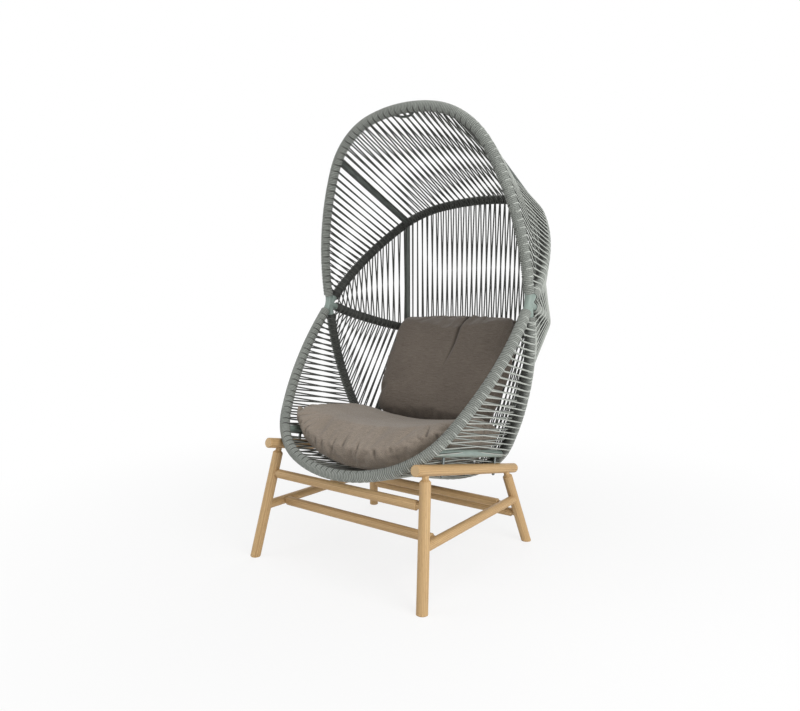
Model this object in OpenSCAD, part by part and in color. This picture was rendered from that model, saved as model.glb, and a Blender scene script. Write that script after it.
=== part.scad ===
// Hooded lounge chair: five arches of bent tube meet at two side pivots and are wound and strung
// with rope, a turned wood base carries them, and two loose cushions fill the seat.
// Millimetres, +Z up, the sitter faces -Y, and the origin is on the floor under the middle.

/* [Shell] */
// Half the distance between the two side pivots, where the arches meet
pivot_half_w = 428; // [410:1:450]
// Height of the side pivots above the floor
pivot_z = 856; // [852:1:880]
// Outer diameter of the arch tubes
tube_d = 25; // [22:0.5:27]
// Wall of every frame tube
tube_wall = 2; // [1.5:0.1:3]
// Straight length of each arch beside its pivot
arch_straight = 50; // [50:1:60]
// Centreline radius of the elbow from the hood rim into the seat rim
elbow_r = 60; // [50:1:62]

/* [Hood rim arch] */
// Lean of the hood rim plane, from level backwards over the top
hood_tilt = 99.5; // [97:0.5:102]
// Radius of its long side bends
hood_side_r = 990; // [950:5:1100]
// Angle of its long side bends
hood_side_a = 27; // [25:0.5:28]
// Radius of its upper corners
hood_corner_r = 290; // [270:5:300]
// Angle of its upper corners
hood_corner_a = 50; // [45:0.5:54]

/* [Crown arch] */
// Lean of the crown plane, where the hood turns into the back
crown_tilt = 44; // [42:0.5:47]
// Radius of its long side bends
crown_side_r = 847; // [820:1:900]
// Angle of its long side bends
crown_side_a = 30.4; // [28:0.2:31]
// Radius of its upper corners
crown_corner_r = 235; // [215:5:245]
// Angle of its upper corners
crown_corner_a = 45.4; // [42:0.2:48]

/* [Lumbar arch] */
// Lean of the lumbar plane, where the back turns in towards the seat
lumbar_tilt = 343.5; // [341:0.5:345]
// Radius of its long side bends
lumbar_side_r = 483; // [470:1:500]
// Angle of its long side bends
lumbar_side_a = 38.7; // [37:0.1:40]
// Radius of its corners
lumbar_corner_r = 198; // [190:1:205]
// Angle of its corners
lumbar_corner_a = 34.9; // [33:0.1:37]

/* [Seat rear arch] */
// Lean of the plane that hangs down behind the seat
rear_tilt = 279.5; // [278.5:0.5:280.5]
// Radius of its long side bends
rear_side_r = 977; // [965:1:1000]
// Angle of its long side bends
rear_side_a = 27.4; // [27:0.1:27.6]
// Radius of its lower corners
rear_corner_r = 203; // [196:1:210]
// Angle of its lower corners
rear_corner_a = 25.4; // [24:0.2:26.6]

/* [Seat rim arch] */
// Lean of the plane that runs forward and down to the front lip
rim_tilt = 228.7; // [228:0.1:229]
// Radius of its long side bends
rim_side_r = 1179; // [1150:1:1220]
// Angle of its long side bends
rim_side_a = 22.5; // [21.5:0.5:23]
// Radius of its lower corners
rim_corner_r = 293; // [285:1:300]
// Angle of its lower corners
rim_corner_a = 46.3; // [44:0.1:48]

/* [Stays and seat tubes] */
// Distance of the stays and the seat tubes from the middle plane
stay_x = 298; // [292:1:302]
// Outer diameter of the stays
stay_d = 22; // [18:0.5:23]
// Span of the loop under the hood rim
loop_span = 100; // [80:1:110]
// Reach of the loop past the hood rim's centreline
loop_drop = 42; // [36:1:46]
// Diameter of the loop's rod
loop_d = 8; // [6:0.5:9]

/* [Rope] */
// Diameter of the rope
rope_d = 5.5; // [4.5:0.1:5.8]
// Distance of the two strand layers from the arch centrelines
layer_off = 14.5; // [13:0.1:15]
// Strand pairs on each side of the hood, between the pivot and the stay
hood_side_n = 20; // [12:1:22]
// Strand pairs on each side of the back
back_side_n = 14; // [10:1:16]
// Strand pairs on each side of the lumbar panel
lumbar_side_n = 16; // [10:1:16]
// Strand pairs on each side of the seat
seat_side_n = 22; // [14:1:22]
// Strand pairs between the two stays of every panel
middle_n = 28; // [20:1:30]

/* [Wood base] */
// Half the distance between the side rails
rail_x = 298; // [292:1:302]
// Diameter of the side rails
rail_d = 34; // [30:0.5:35]
// Height of the seat tubes over the rails, from centreline to centreline
rail_drop = 51.8; // [51:0.1:58]
// Front leg joint, from the pivot line forwards
front_leg_top = 401; // [390:1:412]
// Rear leg joint, from the pivot line backwards
rear_leg_top = 113; // [108:1:125]
// Rail length past the front leg joint
rail_front_end = 54; // [44:1:64]
// Rail length past the rear leg joint
rail_rear_end = 73; // [60:1:80]
// Diameter of the legs
leg_d = 34; // [30:0.5:36]
// Half the distance between the front feet
front_foot_x = 341; // [330:1:360]
// Front feet, from the pivot line forwards
front_foot_y = 482; // [470:1:495]
// Half the distance between the rear feet
rear_foot_x = 351; // [335:1:365]
// Rear feet, from the pivot line backwards
rear_foot_y = 186; // [176:1:200]
// Diameter of the stretchers and cross rails
cross_d = 30; // [26:0.5:32]
// Diameter of the tenons
tenon_d = 20; // [16:0.5:21]
// Height of the side stretchers at the front legs
stretcher_front_z = 172; // [160:1:185]
// Height of the side stretchers at the rear legs
stretcher_rear_z = 160; // [148:1:172]
// Distance of the two low cross rails from the legs
cross_inset = 80; // [65:1:95]
// Height of the upper front cross rail
front_rail_z = 282; // [268:1:296]
// Height of the lower rear cross rail
rear_rail_z = 103; // [95:1:112]

/* [Fixings] */
// Diameter of the studs that hold the shell on the rails
stud_d = 6; // [5:0.5:8]
// Front studs, from the pivot line forwards
stud_front = 311; // [290:1:330]
// Rear studs, from the pivot line backwards
stud_rear = 25; // [0:1:40]
// Outer diameter of the spacers on the studs
spacer_d = 10; // [9.5:0.5:14]

/* [Cushions] */
// Thickness of the seat cushion along its front
seat_front_t = 128; // [100:1:140]
// Thickness of the seat cushion under the back cushion
seat_rear_t = 200; // [180:1:204]
// Thickness of the seat cushion's raised sides, as a share of its middle
seat_side_share = 0.38; // [0.25:0.01:0.5]
// Thickness of the back cushion in front of its seam
back_front_t = 72; // [55:1:85]
// Thickness of the back cushion behind its seam, in the middle
back_rear_t = 98; // [85:1:110]
// Half the width of the back cushion
back_half_w = 282; // [250:1:286]
// Height of the back cushion
back_h = 486; // [440:1:500]
// Lean of the back cushion from upright
back_lean = 29; // [28:0.5:30]

/* [Hidden] */

LEFT = -1;
RIGHT = 1;
OUTER = 1;
INNER = -1;
FN_TUBE = 32;
FN_WOOD = 40;
FN_ROPE = 16;
FN_BEND = 180;

// Clearances and small fits
seat_gap = 0.3;             // air between pieces that rest on each other
slide_gap = 0.2;            // radial air round a tube in its winding and a tenon in its hole
weld_len = 1;               // length of the ring that joins two bends
weld_proud = 0.01;          // how far that ring stands proud
fill_gap = 0.1;             // gap under that ring

// Wood joints
tenon_past = 5;             // how far a tenon runs past the centreline of its mate
neck_len = 8;               // bare tenon that shows beside its mate
leg_shoulder = 7;           // length of the cone that leads from neck to leg
rail_shoulder = 2;          // the same on a cross rail
edge_c = 3;                 // chamfer on open ends of the wood

// Fixings
washer_d = 14;
washer_t = 1.2;
nut_d = 10;
nut_h = 8;
counterbore = 3;            // depth of the flat under each washer

// Winding, and the necks of the stays that pass through it
wrap_d = tube_d + 2 * rope_d;
neck_d = 14;
plug_end = 28;              // where the thick end of a stay stops, from the arch centreline
cope_angle = 14;            // half the angle of the bent cutter that copes a stay's end
loop_angle = 8;             // the same for the loop
rope_r = rope_d / 2;
bevel = 24;                 // size of the block that trims a strand's end

// Each arch: tilt, side radius, side angle, corner radius, corner angle
HOOD = [hood_tilt, hood_side_r, hood_side_a, hood_corner_r, hood_corner_a];
CROWN = [crown_tilt, crown_side_r, crown_side_a, crown_corner_r, crown_corner_a];
LUMBAR = [lumbar_tilt, lumbar_side_r, lumbar_side_a, lumbar_corner_r, lumbar_corner_a];
REAR = [rear_tilt, rear_side_r, rear_side_a, rear_corner_r, rear_corner_a];
RIM = [rim_tilt, rim_side_r, rim_side_a, rim_corner_r, rim_corner_a];

// Starts of tube and winding, measured from the pivot
elbow_bend = rim_tilt - hood_tilt;
elbow_start = elbow_r * tan((180 - elbow_bend) / 2);
stub_len = 44;              // reach of the joint's rear stubs
hang_len = 38;              // reach of the joint's lower stub
wrap_back = 2;              // bare tube left before each winding
first_strand = 50;          // distance from the pivot at which the strand pitch starts

// Arch geometry in its own plane, x across and s away from the pivot line
function arc_len(r, a) = r * a * PI / 180;
function top_a(a) = 90 - a[2] - a[4];
function side_cx(a) = pivot_half_w - a[1];
function corner_cx(a) = side_cx(a) + (a[1] - a[3]) * cos(a[2]);
function corner_cs(a) = arch_straight + (a[1] - a[3]) * sin(a[2]);
function top_r(a) = (corner_cx(a) + a[3] * cos(a[2] + a[4])) / sin(top_a(a));
function top_cs(a) = corner_cs(a) + (a[3] - top_r(a)) * sin(a[2] + a[4]);
function reach(a) = top_cs(a) + top_r(a);

// Lengths along half an arch at the end of each bend
function end_side(a) = arch_straight + arc_len(a[1], a[2]);
function end_corner(a) = end_side(a) + arc_len(a[3], a[4]);
function half_len(a) = end_corner(a) + arc_len(top_r(a), top_a(a));

// Turn of the arch at length t, in degrees from the start direction
function turn_at(a, t) =
    t < arch_straight ? 0 :
    t < end_side(a) ? (t - arch_straight) / a[1] * 180 / PI :
    t < end_corner(a) ? a[2] + (t - end_side(a)) / a[3] * 180 / PI :
    a[2] + a[4] + (t - end_corner(a)) / top_r(a) * 180 / PI;

// Point of half an arch at length t, as [x, s]
function half_point(a, t, h) =
    t < arch_straight ? [pivot_half_w, t] :
    t < end_side(a) ? [side_cx(a) + a[1] * cos(h), arch_straight + a[1] * sin(h)] :
    t < end_corner(a) ? [corner_cx(a) + a[3] * cos(h), corner_cs(a) + a[3] * sin(h)] :
    [top_r(a) * cos(h), top_cs(a) + top_r(a) * sin(h)];

// Length from the pivot at which half an arch stands at distance x from the middle
function len_at_x(a, x) =
    x > side_cx(a) + a[1] * cos(a[2]) ? arch_straight + arc_len(a[1], acos((x - side_cx(a)) / a[1])) :
    x > corner_cx(a) + a[3] * cos(a[2] + a[4]) ?
        end_side(a) + arc_len(a[3], acos((x - corner_cx(a)) / a[3]) - a[2]) :
    end_corner(a) + arc_len(top_r(a), acos(x / top_r(a)) - a[2] - a[4]);

// Point and direction on the whole arch; t runs from the right pivot over the top to the left one
function across(t, a) = t > half_len(a) ? LEFT : RIGHT;
function fold(t, a) = t > half_len(a) ? 2 * half_len(a) - t : t;
function in_plane(a, p) = [p[0], pivot_y + p[1] * cos(a[0]), pivot_z + p[1] * sin(a[0])];
function arch_point(a, t) =
    let (f = fold(t, a), p = half_point(a, f, turn_at(a, f)))
    in_plane(a, [across(t, a) * p[0], p[1]]);
function arch_dir(a, t) =
    let (f = fold(t, a), h = turn_at(a, f))
    [-sin(h), across(t, a) * cos(h) * cos(a[0]), across(t, a) * cos(h) * sin(a[0])];

// Vectors
function unit(v) = v / norm(v);
function mix(p, q, f) = p * (1 - f) + q * f;
function side_point(a, side) = arch_point(a, side == RIGHT ? len_at_x(a, stay_x) :
    2 * half_len(a) - len_at_x(a, stay_x));

// Seat tubes, measured from the pivot line: where one meets its arch, and its height at y
function tube_end(a) =
    let (t = len_at_x(a, stay_x), s = half_point(a, t, turn_at(a, t))[1])
    [s * cos(a[0]), pivot_z + s * sin(a[0])];
function seat_tube_z(y) =
    let (p = tube_end(RIM), q = tube_end(REAR))
    mix(p, q, (y - p[0]) / (q[0] - p[0]))[1];

// Base geometry, measured from the pivot line; the origin is then put under the middle
rail_front_z = seat_tube_z(-front_leg_top) - rail_drop;
rail_rear_z = seat_tube_z(rear_leg_top) - rail_drop;
rail_slope = (rail_front_z - rail_rear_z) / (front_leg_top + rear_leg_top);
front_leg_axis = unit([front_foot_x - rail_x, front_leg_top - front_foot_y, -rail_front_z]);
front_reach = front_foot_y + leg_d / 2 * sqrt(1 - pow(front_leg_axis[0], 2)) / -front_leg_axis[2];
rear_reach = max(reach(CROWN) * cos(crown_tilt), reach(LUMBAR) * cos(lumbar_tilt)) + wrap_d / 2;
pivot_y = (front_reach - rear_reach) / 2;

function rail_z(y) = rail_front_z - rail_slope * (y - pivot_y + front_leg_top);
function on_rail(side, y) = [side * rail_x, y, rail_z(y)];
function front_top(side) = on_rail(side, pivot_y - front_leg_top);
function rear_top(side) = on_rail(side, pivot_y + rear_leg_top);
function front_foot(side) = [side * front_foot_x, pivot_y - front_foot_y, 0];
function rear_foot(side) = [side * rear_foot_x, pivot_y + rear_foot_y, 0];
function at_height(top, foot, z) = mix(top, foot, (top[2] - z) / (top[2] - foot[2]));
function on_front_leg(side, z) = at_height(front_top(side), front_foot(side), z);
function on_rear_leg(side, z) = at_height(rear_top(side), rear_foot(side), z);
function stretcher_front(side) = on_front_leg(side, stretcher_front_z);
function stretcher_rear(side) = on_rear_leg(side, stretcher_rear_z);
function on_stretcher(side, y) =
    let (p = stretcher_front(side), q = stretcher_rear(side))
    mix(p, q, (y - p[1]) / (q[1] - p[1]));
low_front_y = stretcher_front(RIGHT)[1] + cross_inset;
low_rear_y = stretcher_rear(RIGHT)[1] - cross_inset;

// Turns the Z axis of its children towards v
module aim(v)
    rotate([0, acos(v[2] / norm(v)), atan2(v[1], v[0])])
        children();

// A straight round bar between two points
module bar(p, q, d, fn = FN_WOOD)
    translate(p)
        aim(q - p)
            cylinder(d = d, h = norm(q - p), $fn = fn);

// A straight round cutter along direction v, centred on p
module cutter(p, v, d, length = 90, fn = FN_WOOD)
    translate(p)
        aim(v)
            cylinder(d = d, h = length, center = true, $fn = fn);

// A solid cutter along one bend of an arch: the bend's centre and radius, its middle and half angle
module bend_cutter(a, c, r, middle, half_angle, d)
    translate([0, pivot_y, pivot_z])
        rotate([a[0], 0, 0])
            translate(c)
                rotate([0, 0, middle - half_angle])
                    rotate_extrude(angle = 2 * half_angle, $fn = FN_BEND)
                        translate([r, 0])
                            circle(d = d, $fn = FN_TUBE);

// The same in the corner bend, round the place of a stay
module corner_cutter(a, side, d)
    mirror([side == LEFT ? 1 : 0, 0, 0])
        bend_cutter(a, [corner_cx(a), corner_cs(a), 0], a[3],
                    turn_at(a, len_at_x(a, stay_x)), cope_angle, d);

// Section of a tube or of a winding
module ring(d, hole)
    difference() {
        circle(d = d, $fn = FN_TUBE);
        circle(d = hole, $fn = FN_TUBE);
    }

// One bend: centre, radius, first and last turn, with a small gap at each end
module bend(c, r, from, to, d, hole) {
    trim = fill_gap / 2 / r * 180 / PI;
    translate(c)
        rotate([0, 0, from + trim])
            rotate_extrude(angle = to - from - 2 * trim, $fn = FN_BEND)
                translate([r, 0])
                    ring(d, hole);
}

// A proud ring over the gap between two bends; turn is the arch direction there
module weld(p, turn, d, hole)
    translate(p)
        rotate([0, 0, turn])
            rotate([-90, 0, 0])
                linear_extrude(weld_len, center = true)
                    ring(d + 2 * weld_proud, hole - 2 * weld_proud);

// A whole arch of one section, from length start beside one pivot to the same beside the other
module arch(a, start, d, hole) {
    corner_end = a[2] + a[4];
    translate([0, pivot_y, pivot_z])
        rotate([a[0], 0, 0]) {
            for (side = [0, 1])
                mirror([side, 0, 0]) {
                    translate([pivot_half_w, start, 0])
                        rotate([-90, 0, 0])
                            linear_extrude(arch_straight - start - fill_gap / 2)
                                ring(d, hole);
                    weld([pivot_half_w, arch_straight, 0], 0, d, hole);
                    bend([side_cx(a), arch_straight, 0], a[1], 0, a[2], d, hole);
                    weld(concat(half_point(a, end_side(a), a[2]), 0), a[2], d, hole);
                    bend([corner_cx(a), corner_cs(a), 0], a[3], a[2], corner_end, d, hole);
                    weld(concat(half_point(a, end_corner(a), corner_end), 0), corner_end, d, hole);
                }
            bend([0, top_cs(a), 0], top_r(a), corner_end, 180 - corner_end, d, hole);
        }
}

// Bent frame tubes
module arch_tube(a, start)
    color("lightslategray")
        arch(a, start, tube_d, tube_d - 2 * tube_wall);

// Rope wound round an arch, with a hole for the neck of each stay that meets it
module arch_wrap(a, start, mates)
    color("darkslategray")
        difference() {
            arch(a, start, wrap_d, tube_d + 2 * slide_gap);
            for (side = [LEFT, RIGHT])
                for (m = mates)
                    bar(side_point(a, side), mix(side_point(a, side), side_point(m, side), 0.2),
                        neck_d + 2 * slide_gap, FN_TUBE);
        }

// A straight hollow stay between two arches: its body is coped onto the windings, and a neck at
// each end passes through the winding and is coped onto the tube
module stay(a, b, side, d) {
    p = side_point(a, side);
    q = side_point(b, side);
    length = norm(q - p);
    bore = neck_d / 2 - tube_wall;
    color("lightslategray") {
        difference() {
            translate(p)
                aim(q - p)
                    rotate_extrude($fn = FN_TUBE)
                        polygon([
                            [bore, 0], [d / 2, 0], [d / 2, length], [bore, length],
                            [bore, length - plug_end], [d / 2 - tube_wall, length - plug_end],
                            [d / 2 - tube_wall, plug_end], [bore, plug_end],
                        ]);
            corner_cutter(a, side, wrap_d + 2 * seat_gap);
            corner_cutter(b, side, wrap_d + 2 * seat_gap);
        }
        difference() {
            for (end = [[p, q], [q, p]])
                bar(end[0], mix(end[0], end[1], (plug_end - 1) / length), neck_d, FN_TUBE);
            bar(p, q, 2 * bore, FN_TUBE);
            corner_cutter(a, side, tube_d + 2 * seat_gap);
            corner_cutter(b, side, tube_d + 2 * seat_gap);
        }
    }
}

// Cast joint at a pivot: the elbow of the front opening and three stubs that point to the rear
module pivot_joint(side) {
    swing = elbow_bend / 2 + hood_tilt;
    away = elbow_r / sin(elbow_bend / 2);
    color("cadetblue")
        translate([side * pivot_half_w, pivot_y, pivot_z])
            rotate([90, 0, 90]) {
                translate([away * cos(swing), away * sin(swing), 0])
                    rotate([0, 0, rim_tilt + 90])
                        rotate_extrude(angle = 180 - elbow_bend, $fn = FN_BEND)
                            translate([elbow_r, 0])
                                circle(d = tube_d, $fn = FN_TUBE);
                sphere(d = tube_d + 3, $fn = FN_TUBE);
                for (stub = [[rear_tilt, hang_len], [lumbar_tilt, stub_len], [crown_tilt, stub_len]])
                    rotate([0, 0, stub[0]])
                        rotate([0, 90, 0])
                            cylinder(d = tube_d, h = stub[1], $fn = FN_TUBE);
            }
}

// Small rod loop in the hood, between the two strand layers
module loop() {
    top = arch_point(HOOD, half_len(HOOD));
    drop = unit(arch_point(CROWN, half_len(CROWN)) - top);
    half = loop_span / 2;
    r = (half * half + loop_drop * loop_drop) / (2 * loop_drop);
    sweep = asin(half / r);
    color("dimgray")
        difference() {
            translate(top)
                rotate([atan2(drop[2], drop[1]), 0, 0])
                    translate([0, loop_drop - r, 0])
                        rotate([0, 0, 90 - sweep])
                            rotate_extrude(angle = 2 * sweep, $fn = FN_BEND)
                                translate([r, 0])
                                    circle(d = loop_d, $fn = FN_TUBE);
            bend_cutter(HOOD, [0, top_cs(HOOD), 0], top_r(HOOD), 90, loop_angle, wrap_d + 2 * seat_gap);
        }
}

// Strands
// Place q on a panel: 0 to 1 right side, 1 to 2 between the stays, 2 to 3 left side
function place(a, q) =
    let (s = len_at_x(a, stay_x), whole = 2 * half_len(a))
    q < 1 ? mix(first_strand, s, q) :
    q < 2 ? mix(s, whole - s, q - 1) :
    mix(whole - s, whole - first_strand, q - 2);

// Where two panels share an arch, their middle strands take turns on it. Each pattern says how
// many strands a panel leaves out there, and how many pitches its first one lies from the stay
TURN_1 = [0, 0.5];
TURN_2 = [1, 1];
TURN_SEAT = [1, 1.2];       // a little more, so that the strands clear the studs

// Places of the strand pairs of a panel
function pair_places(n, turn) = concat(
    [for (i = [0 : n - 1]) (i + 0.5) / n],
    [for (i = [0 : middle_n - turn[0] - 1])
        1 + mix(turn[1], middle_n - turn[1], i / (middle_n - turn[0] - 1)) / middle_n],
    [for (i = [0 : n - 1]) 2 + (i + 0.5) / n]);

// The point where a strand's centreline meets the winding, then the trim direction there
function landing(c, along, dir, out) =
    let (r = wrap_d / 2 + seat_gap,
         flat = dir - along * (dir * along),
         s = sqrt(r * r - layer_off * layer_off) / norm(flat))
    [c + out * layer_off + dir * s, (out * layer_off + flat * s) / r, s];

// One straight strand, trimmed so that it lies down on the winding at both ends
module strand(p, q, along_p, along_q, layer) {
    dir = unit(q - p);
    out_p = unit(cross(along_p, dir)) * layer;
    out_q = unit(cross(along_q, dir)) * layer;
    land_p = landing(p, along_p, dir, out_p);
    land_q = landing(q, along_q, -dir, out_q);
    run = unit(land_q[0] - land_p[0]);
    difference() {
        bar(land_p[0] - run * wrap_d / 4, land_q[0] + run * wrap_d / 4, rope_d, FN_ROPE);
        translate(land_p[0])
            aim(-land_p[1])
                translate([0, 0, bevel / 2])
                    cube(bevel, center = true);
        translate(land_q[0])
            aim(-land_q[1])
                translate([0, 0, bevel / 2])
                    cube(bevel, center = true);
    }
}

// All strands of one layer of a panel between arches a and b
module strands(a, b, n, turn, layer)
    color(layer == OUTER ? "darkseagreen" : "darkslategray")
        for (q = pair_places(n, turn))
            strand(arch_point(a, place(a, q)), arch_point(b, place(b, q)),
                   arch_dir(a, place(a, q)), arch_dir(b, place(b, q)), layer);

// Wood
// A turned bar between two joints: tenons at both ends, a neck and a shoulder beside each mate
module turned(p, q, d, mate_p, mate_q, shoulder) {
    length = norm(q - p);
    neck_p = mate_p / 2 + neck_len;
    neck_q = length - mate_q / 2 - neck_len;
    translate(p)
        aim(q - p)
            rotate_extrude($fn = FN_WOOD)
                polygon([
                    [0, -tenon_past], [tenon_d / 2, -tenon_past],
                    [tenon_d / 2, neck_p], [d / 2, neck_p + shoulder],
                    [d / 2, neck_q - shoulder], [tenon_d / 2, neck_q],
                    [tenon_d / 2, length + tenon_past], [0, length + tenon_past],
                ]);
}

// The hole for a tenon that comes from q into the member at p
module mortise(p, q)
    translate(p)
        aim(q - p)
            translate([0, 0, -tenon_past - seat_gap])
                cylinder(d = tenon_d + 2 * slide_gap, h = rail_d + 2 * tenon_past, $fn = FN_WOOD);

// Outline of a round bar with chamfered ends
module chamfered(length, d)
    rotate_extrude($fn = FN_WOOD)
        polygon([[0, 0], [d / 2 - edge_c, 0], [d / 2, edge_c],
                 [d / 2, length - edge_c], [d / 2 - edge_c, length], [0, length]]);

// A leg from its tenon in the rail down to the floor
module leg(top, foot, stretcher, stretcher_to, rail, rail_to) {
    axis = unit(foot - top);
    length = norm(foot - top) + leg_d / 2 * tan(acos(-axis[2]));
    neck = rail_d / 2 + neck_len;
    color("burlywood")
        difference() {
            translate(top)
                aim(axis)
                    rotate_extrude($fn = FN_WOOD)
                        polygon([
                            [0, -tenon_past], [tenon_d / 2, -tenon_past], [tenon_d / 2, neck],
                            [leg_d / 2, neck + leg_shoulder], [leg_d / 2, length - edge_c],
                            [leg_d / 2 - edge_c, length], [0, length],
                        ]);
            translate([foot[0], foot[1], -leg_d])
                cube([4 * leg_d, 4 * leg_d, 2 * leg_d], center = true);
            mortise(stretcher, stretcher_to);
            mortise(rail, rail_to);
        }
}

module leg_front(side)
    leg(front_top(side), front_foot(side),
        stretcher_front(side), stretcher_rear(side),
        on_front_leg(side, front_rail_z), on_front_leg(-side, front_rail_z));

module leg_rear(side)
    leg(rear_top(side), rear_foot(side),
        stretcher_rear(side), stretcher_front(side),
        on_rear_leg(side, rear_rail_z), on_rear_leg(-side, rear_rail_z));

// Stud places along a rail, and the direction square to the rail
stud_ys = [pivot_y - stud_front, pivot_y + stud_rear];
rail_up = unit([0, rail_slope, 1]);

// A side rail, with mortises for the legs and holes for the studs
module side_rail(side) {
    front = on_rail(side, pivot_y - front_leg_top - rail_front_end);
    rear = on_rail(side, pivot_y + rear_leg_top + rail_rear_end);
    color("burlywood")
        difference() {
            translate(front)
                aim(rear - front)
                    chamfered(norm(rear - front), rail_d);
            mortise(front_top(side), front_foot(side));
            mortise(rear_top(side), rear_foot(side));
            for (y = stud_ys) {
                cutter(on_rail(side, y), rail_up, stud_d + 2 * slide_gap, 2 * rail_d, FN_TUBE);
                translate(on_rail(side, y))
                    aim(-rail_up)
                        translate([0, 0, rail_d / 2 - counterbore])
                            cylinder(d = washer_d + 2 * slide_gap, h = rail_d, $fn = FN_TUBE);
            }
        }
}

// A side stretcher, coped against both legs, with tenons into them
module side_stretcher(side) {
    p = stretcher_front(side);
    q = stretcher_rear(side);
    dir = unit(q - p);
    color("burlywood")
        difference() {
            union() {
                difference() {
                    bar(p, q, cross_d);
                    cutter(p, front_foot(side) - front_top(side), leg_d + 2 * slide_gap);
                    cutter(q, rear_foot(side) - rear_top(side), leg_d + 2 * slide_gap);
                }
                bar(p - dir * tenon_past, q + dir * tenon_past, tenon_d);
            }
            mortise(on_stretcher(side, low_front_y), on_stretcher(-side, low_front_y));
            mortise(on_stretcher(side, low_rear_y), on_stretcher(-side, low_rear_y));
        }
}

module cross_rail(p, q, mate_d)
    color("burlywood")
        turned(p, q, cross_d, mate_d, mate_d, rail_shoulder);

// Fixings between shell and rails
// Where the seat tube's centreline stands over a rail place, square to the rail
function seat_tube_over(side, y) =
    let (p = side_point(RIM, side), q = side_point(REAR, side),
         c = on_rail(side, y), d = q - p,
         w = cross([1, 0, 0], rail_up), f = ((c - p) * w) / (d * w))
    norm(mix(p, q, f) - c);

// Runs its children once for each stud, with Z square to the rail and zero at its centreline
module at_studs()
    for (side = [LEFT, RIGHT])
        for (y = stud_ys) {
            $over = seat_tube_over(side, y);
            translate(on_rail(side, y))
                aim(rail_up)
                    children();
        }

nut_bottom = -rail_d / 2 + counterbore - washer_t - nut_h;

module shell_studs()
    color("silver")
        at_studs()
            translate([0, 0, nut_bottom + nut_h / 2])
                cylinder(d = stud_d, h = $over - tube_d / 2 - seat_gap - nut_bottom - nut_h / 2,
                         $fn = FN_TUBE);

module stud_spacers()
    color("silver")
        at_studs()
            translate([0, 0, rail_d / 2 + seat_gap])
                difference() {
                    cylinder(d = spacer_d, h = $over - tube_d / 2 - rail_d / 2 - 2 * seat_gap,
                             $fn = FN_TUBE);
                    cylinder(d = stud_d + 2 * slide_gap, h = 3 * rail_d, center = true, $fn = FN_TUBE);
                }

module stud_washers()
    color("silver")
        at_studs()
            translate([0, 0, -rail_d / 2 + counterbore - washer_t])
                difference() {
                    cylinder(d = washer_d, h = washer_t, $fn = FN_TUBE);
                    cylinder(d = stud_d + 2 * slide_gap, h = 3 * washer_t, center = true, $fn = FN_TUBE);
                }

module cap_nuts()
    color("silver")
        at_studs()
            translate([0, 0, nut_bottom])
                difference() {
                    rotate_extrude($fn = FN_TUBE)
                        polygon([[0, 0], [nut_d / 4, 0], [nut_d / 2, nut_d / 4],
                                 [nut_d / 2, nut_h], [0, nut_h]]);
                    translate([0, 0, nut_h / 2])
                        cylinder(d = stud_d, h = nut_h, $fn = FN_TUBE);
                }

// Cushions, each a closed grid of two faces that meet in a seam
CUSHION_N = 26;             // cells across a cushion, an even number
CUSHION_M = 20;             // cells along a cushion, an even number
TOP = 0;
UNDER = 1;

// Cosine spacing, so that the rounded edges get most cells
function spaced(i, n) = -cos(180 * i / n);

// Shape between the edges: 1 in the middle and 0 at u = -1 and u = 1
function swell(u, squareness, bulge) = pow(max(0, 1 - pow(abs(u), squareness)), bulge);

// Closed surface from a function of u, v and face; v and u run from -1 to 1
module cushion(point) {
    w = CUSHION_M + 1;
    half = (CUSHION_N + 1) * w;
    inside = function(i, j) i > 0 && i < CUSHION_N && j > 0 && j < CUSHION_M;
    at = function(i, j, face) i * w + j + (face == UNDER && inside(i, j) ? half : 0);
    points = [
        for (face = [TOP, UNDER]) for (i = [0 : CUSHION_N]) for (j = [0 : CUSHION_M])
            point(spaced(i, CUSHION_N), spaced(j, CUSHION_M), face),
    ];
    faces = [
        for (i = [0 : CUSHION_N - 1]) for (j = [0 : CUSHION_M - 1]) for (face = [TOP, UNDER])
            let (a = at(i, j, face), b = at(i + 1, j, face),
                 c = at(i + 1, j + 1, face), d = at(i, j + 1, face),
                 crossed = (i < CUSHION_N / 2) != (j < CUSHION_M / 2))
            for (f = crossed ? [[a, d, b], [b, d, c]] : [[a, d, c], [a, c, b]])
                face == TOP ? f : [f[2], f[1], f[0]],
    ];
    polyhedron(points = points, faces = faces, convexity = 4);
}

// Seat bed: the ruled surface between the seat's rear arch (v = 0) and its rim (v = 1)
function bed(q, v) = mix(arch_point(REAR, place(REAR, q)), arch_point(RIM, place(RIM, q)), v);
function bed_normal(q, v) =
    unit(cross(bed(q + 0.01, v) - bed(q - 0.01, v), bed(q, v + 0.01) - bed(q, v - 0.01)));
function bed_face(q, v) = bed(q, v) + bed_normal(q, v) * (layer_off + rope_r + bed_gap);

bed_gap = 0.8;              // air between the seat cushion and the strands under it
back_gap = 0.8;             // air between the back cushion and the strands behind it
seat_reach_share = 0.675;         // how far the cushion climbs the sides, in strand places
seat_front_share = 0.918;       // its front edge on the middle strands
seat_corner_share = 0.04;       // how much nearer to the rim its front corners lie
seat_seam_share = 0.34;           // height of its seam, as a share of the thickness
seat_round_share = 0.06;          // rounding of its outline
seat_inward_share = 0.3;          // lean of its raised sides towards the middle

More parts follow.
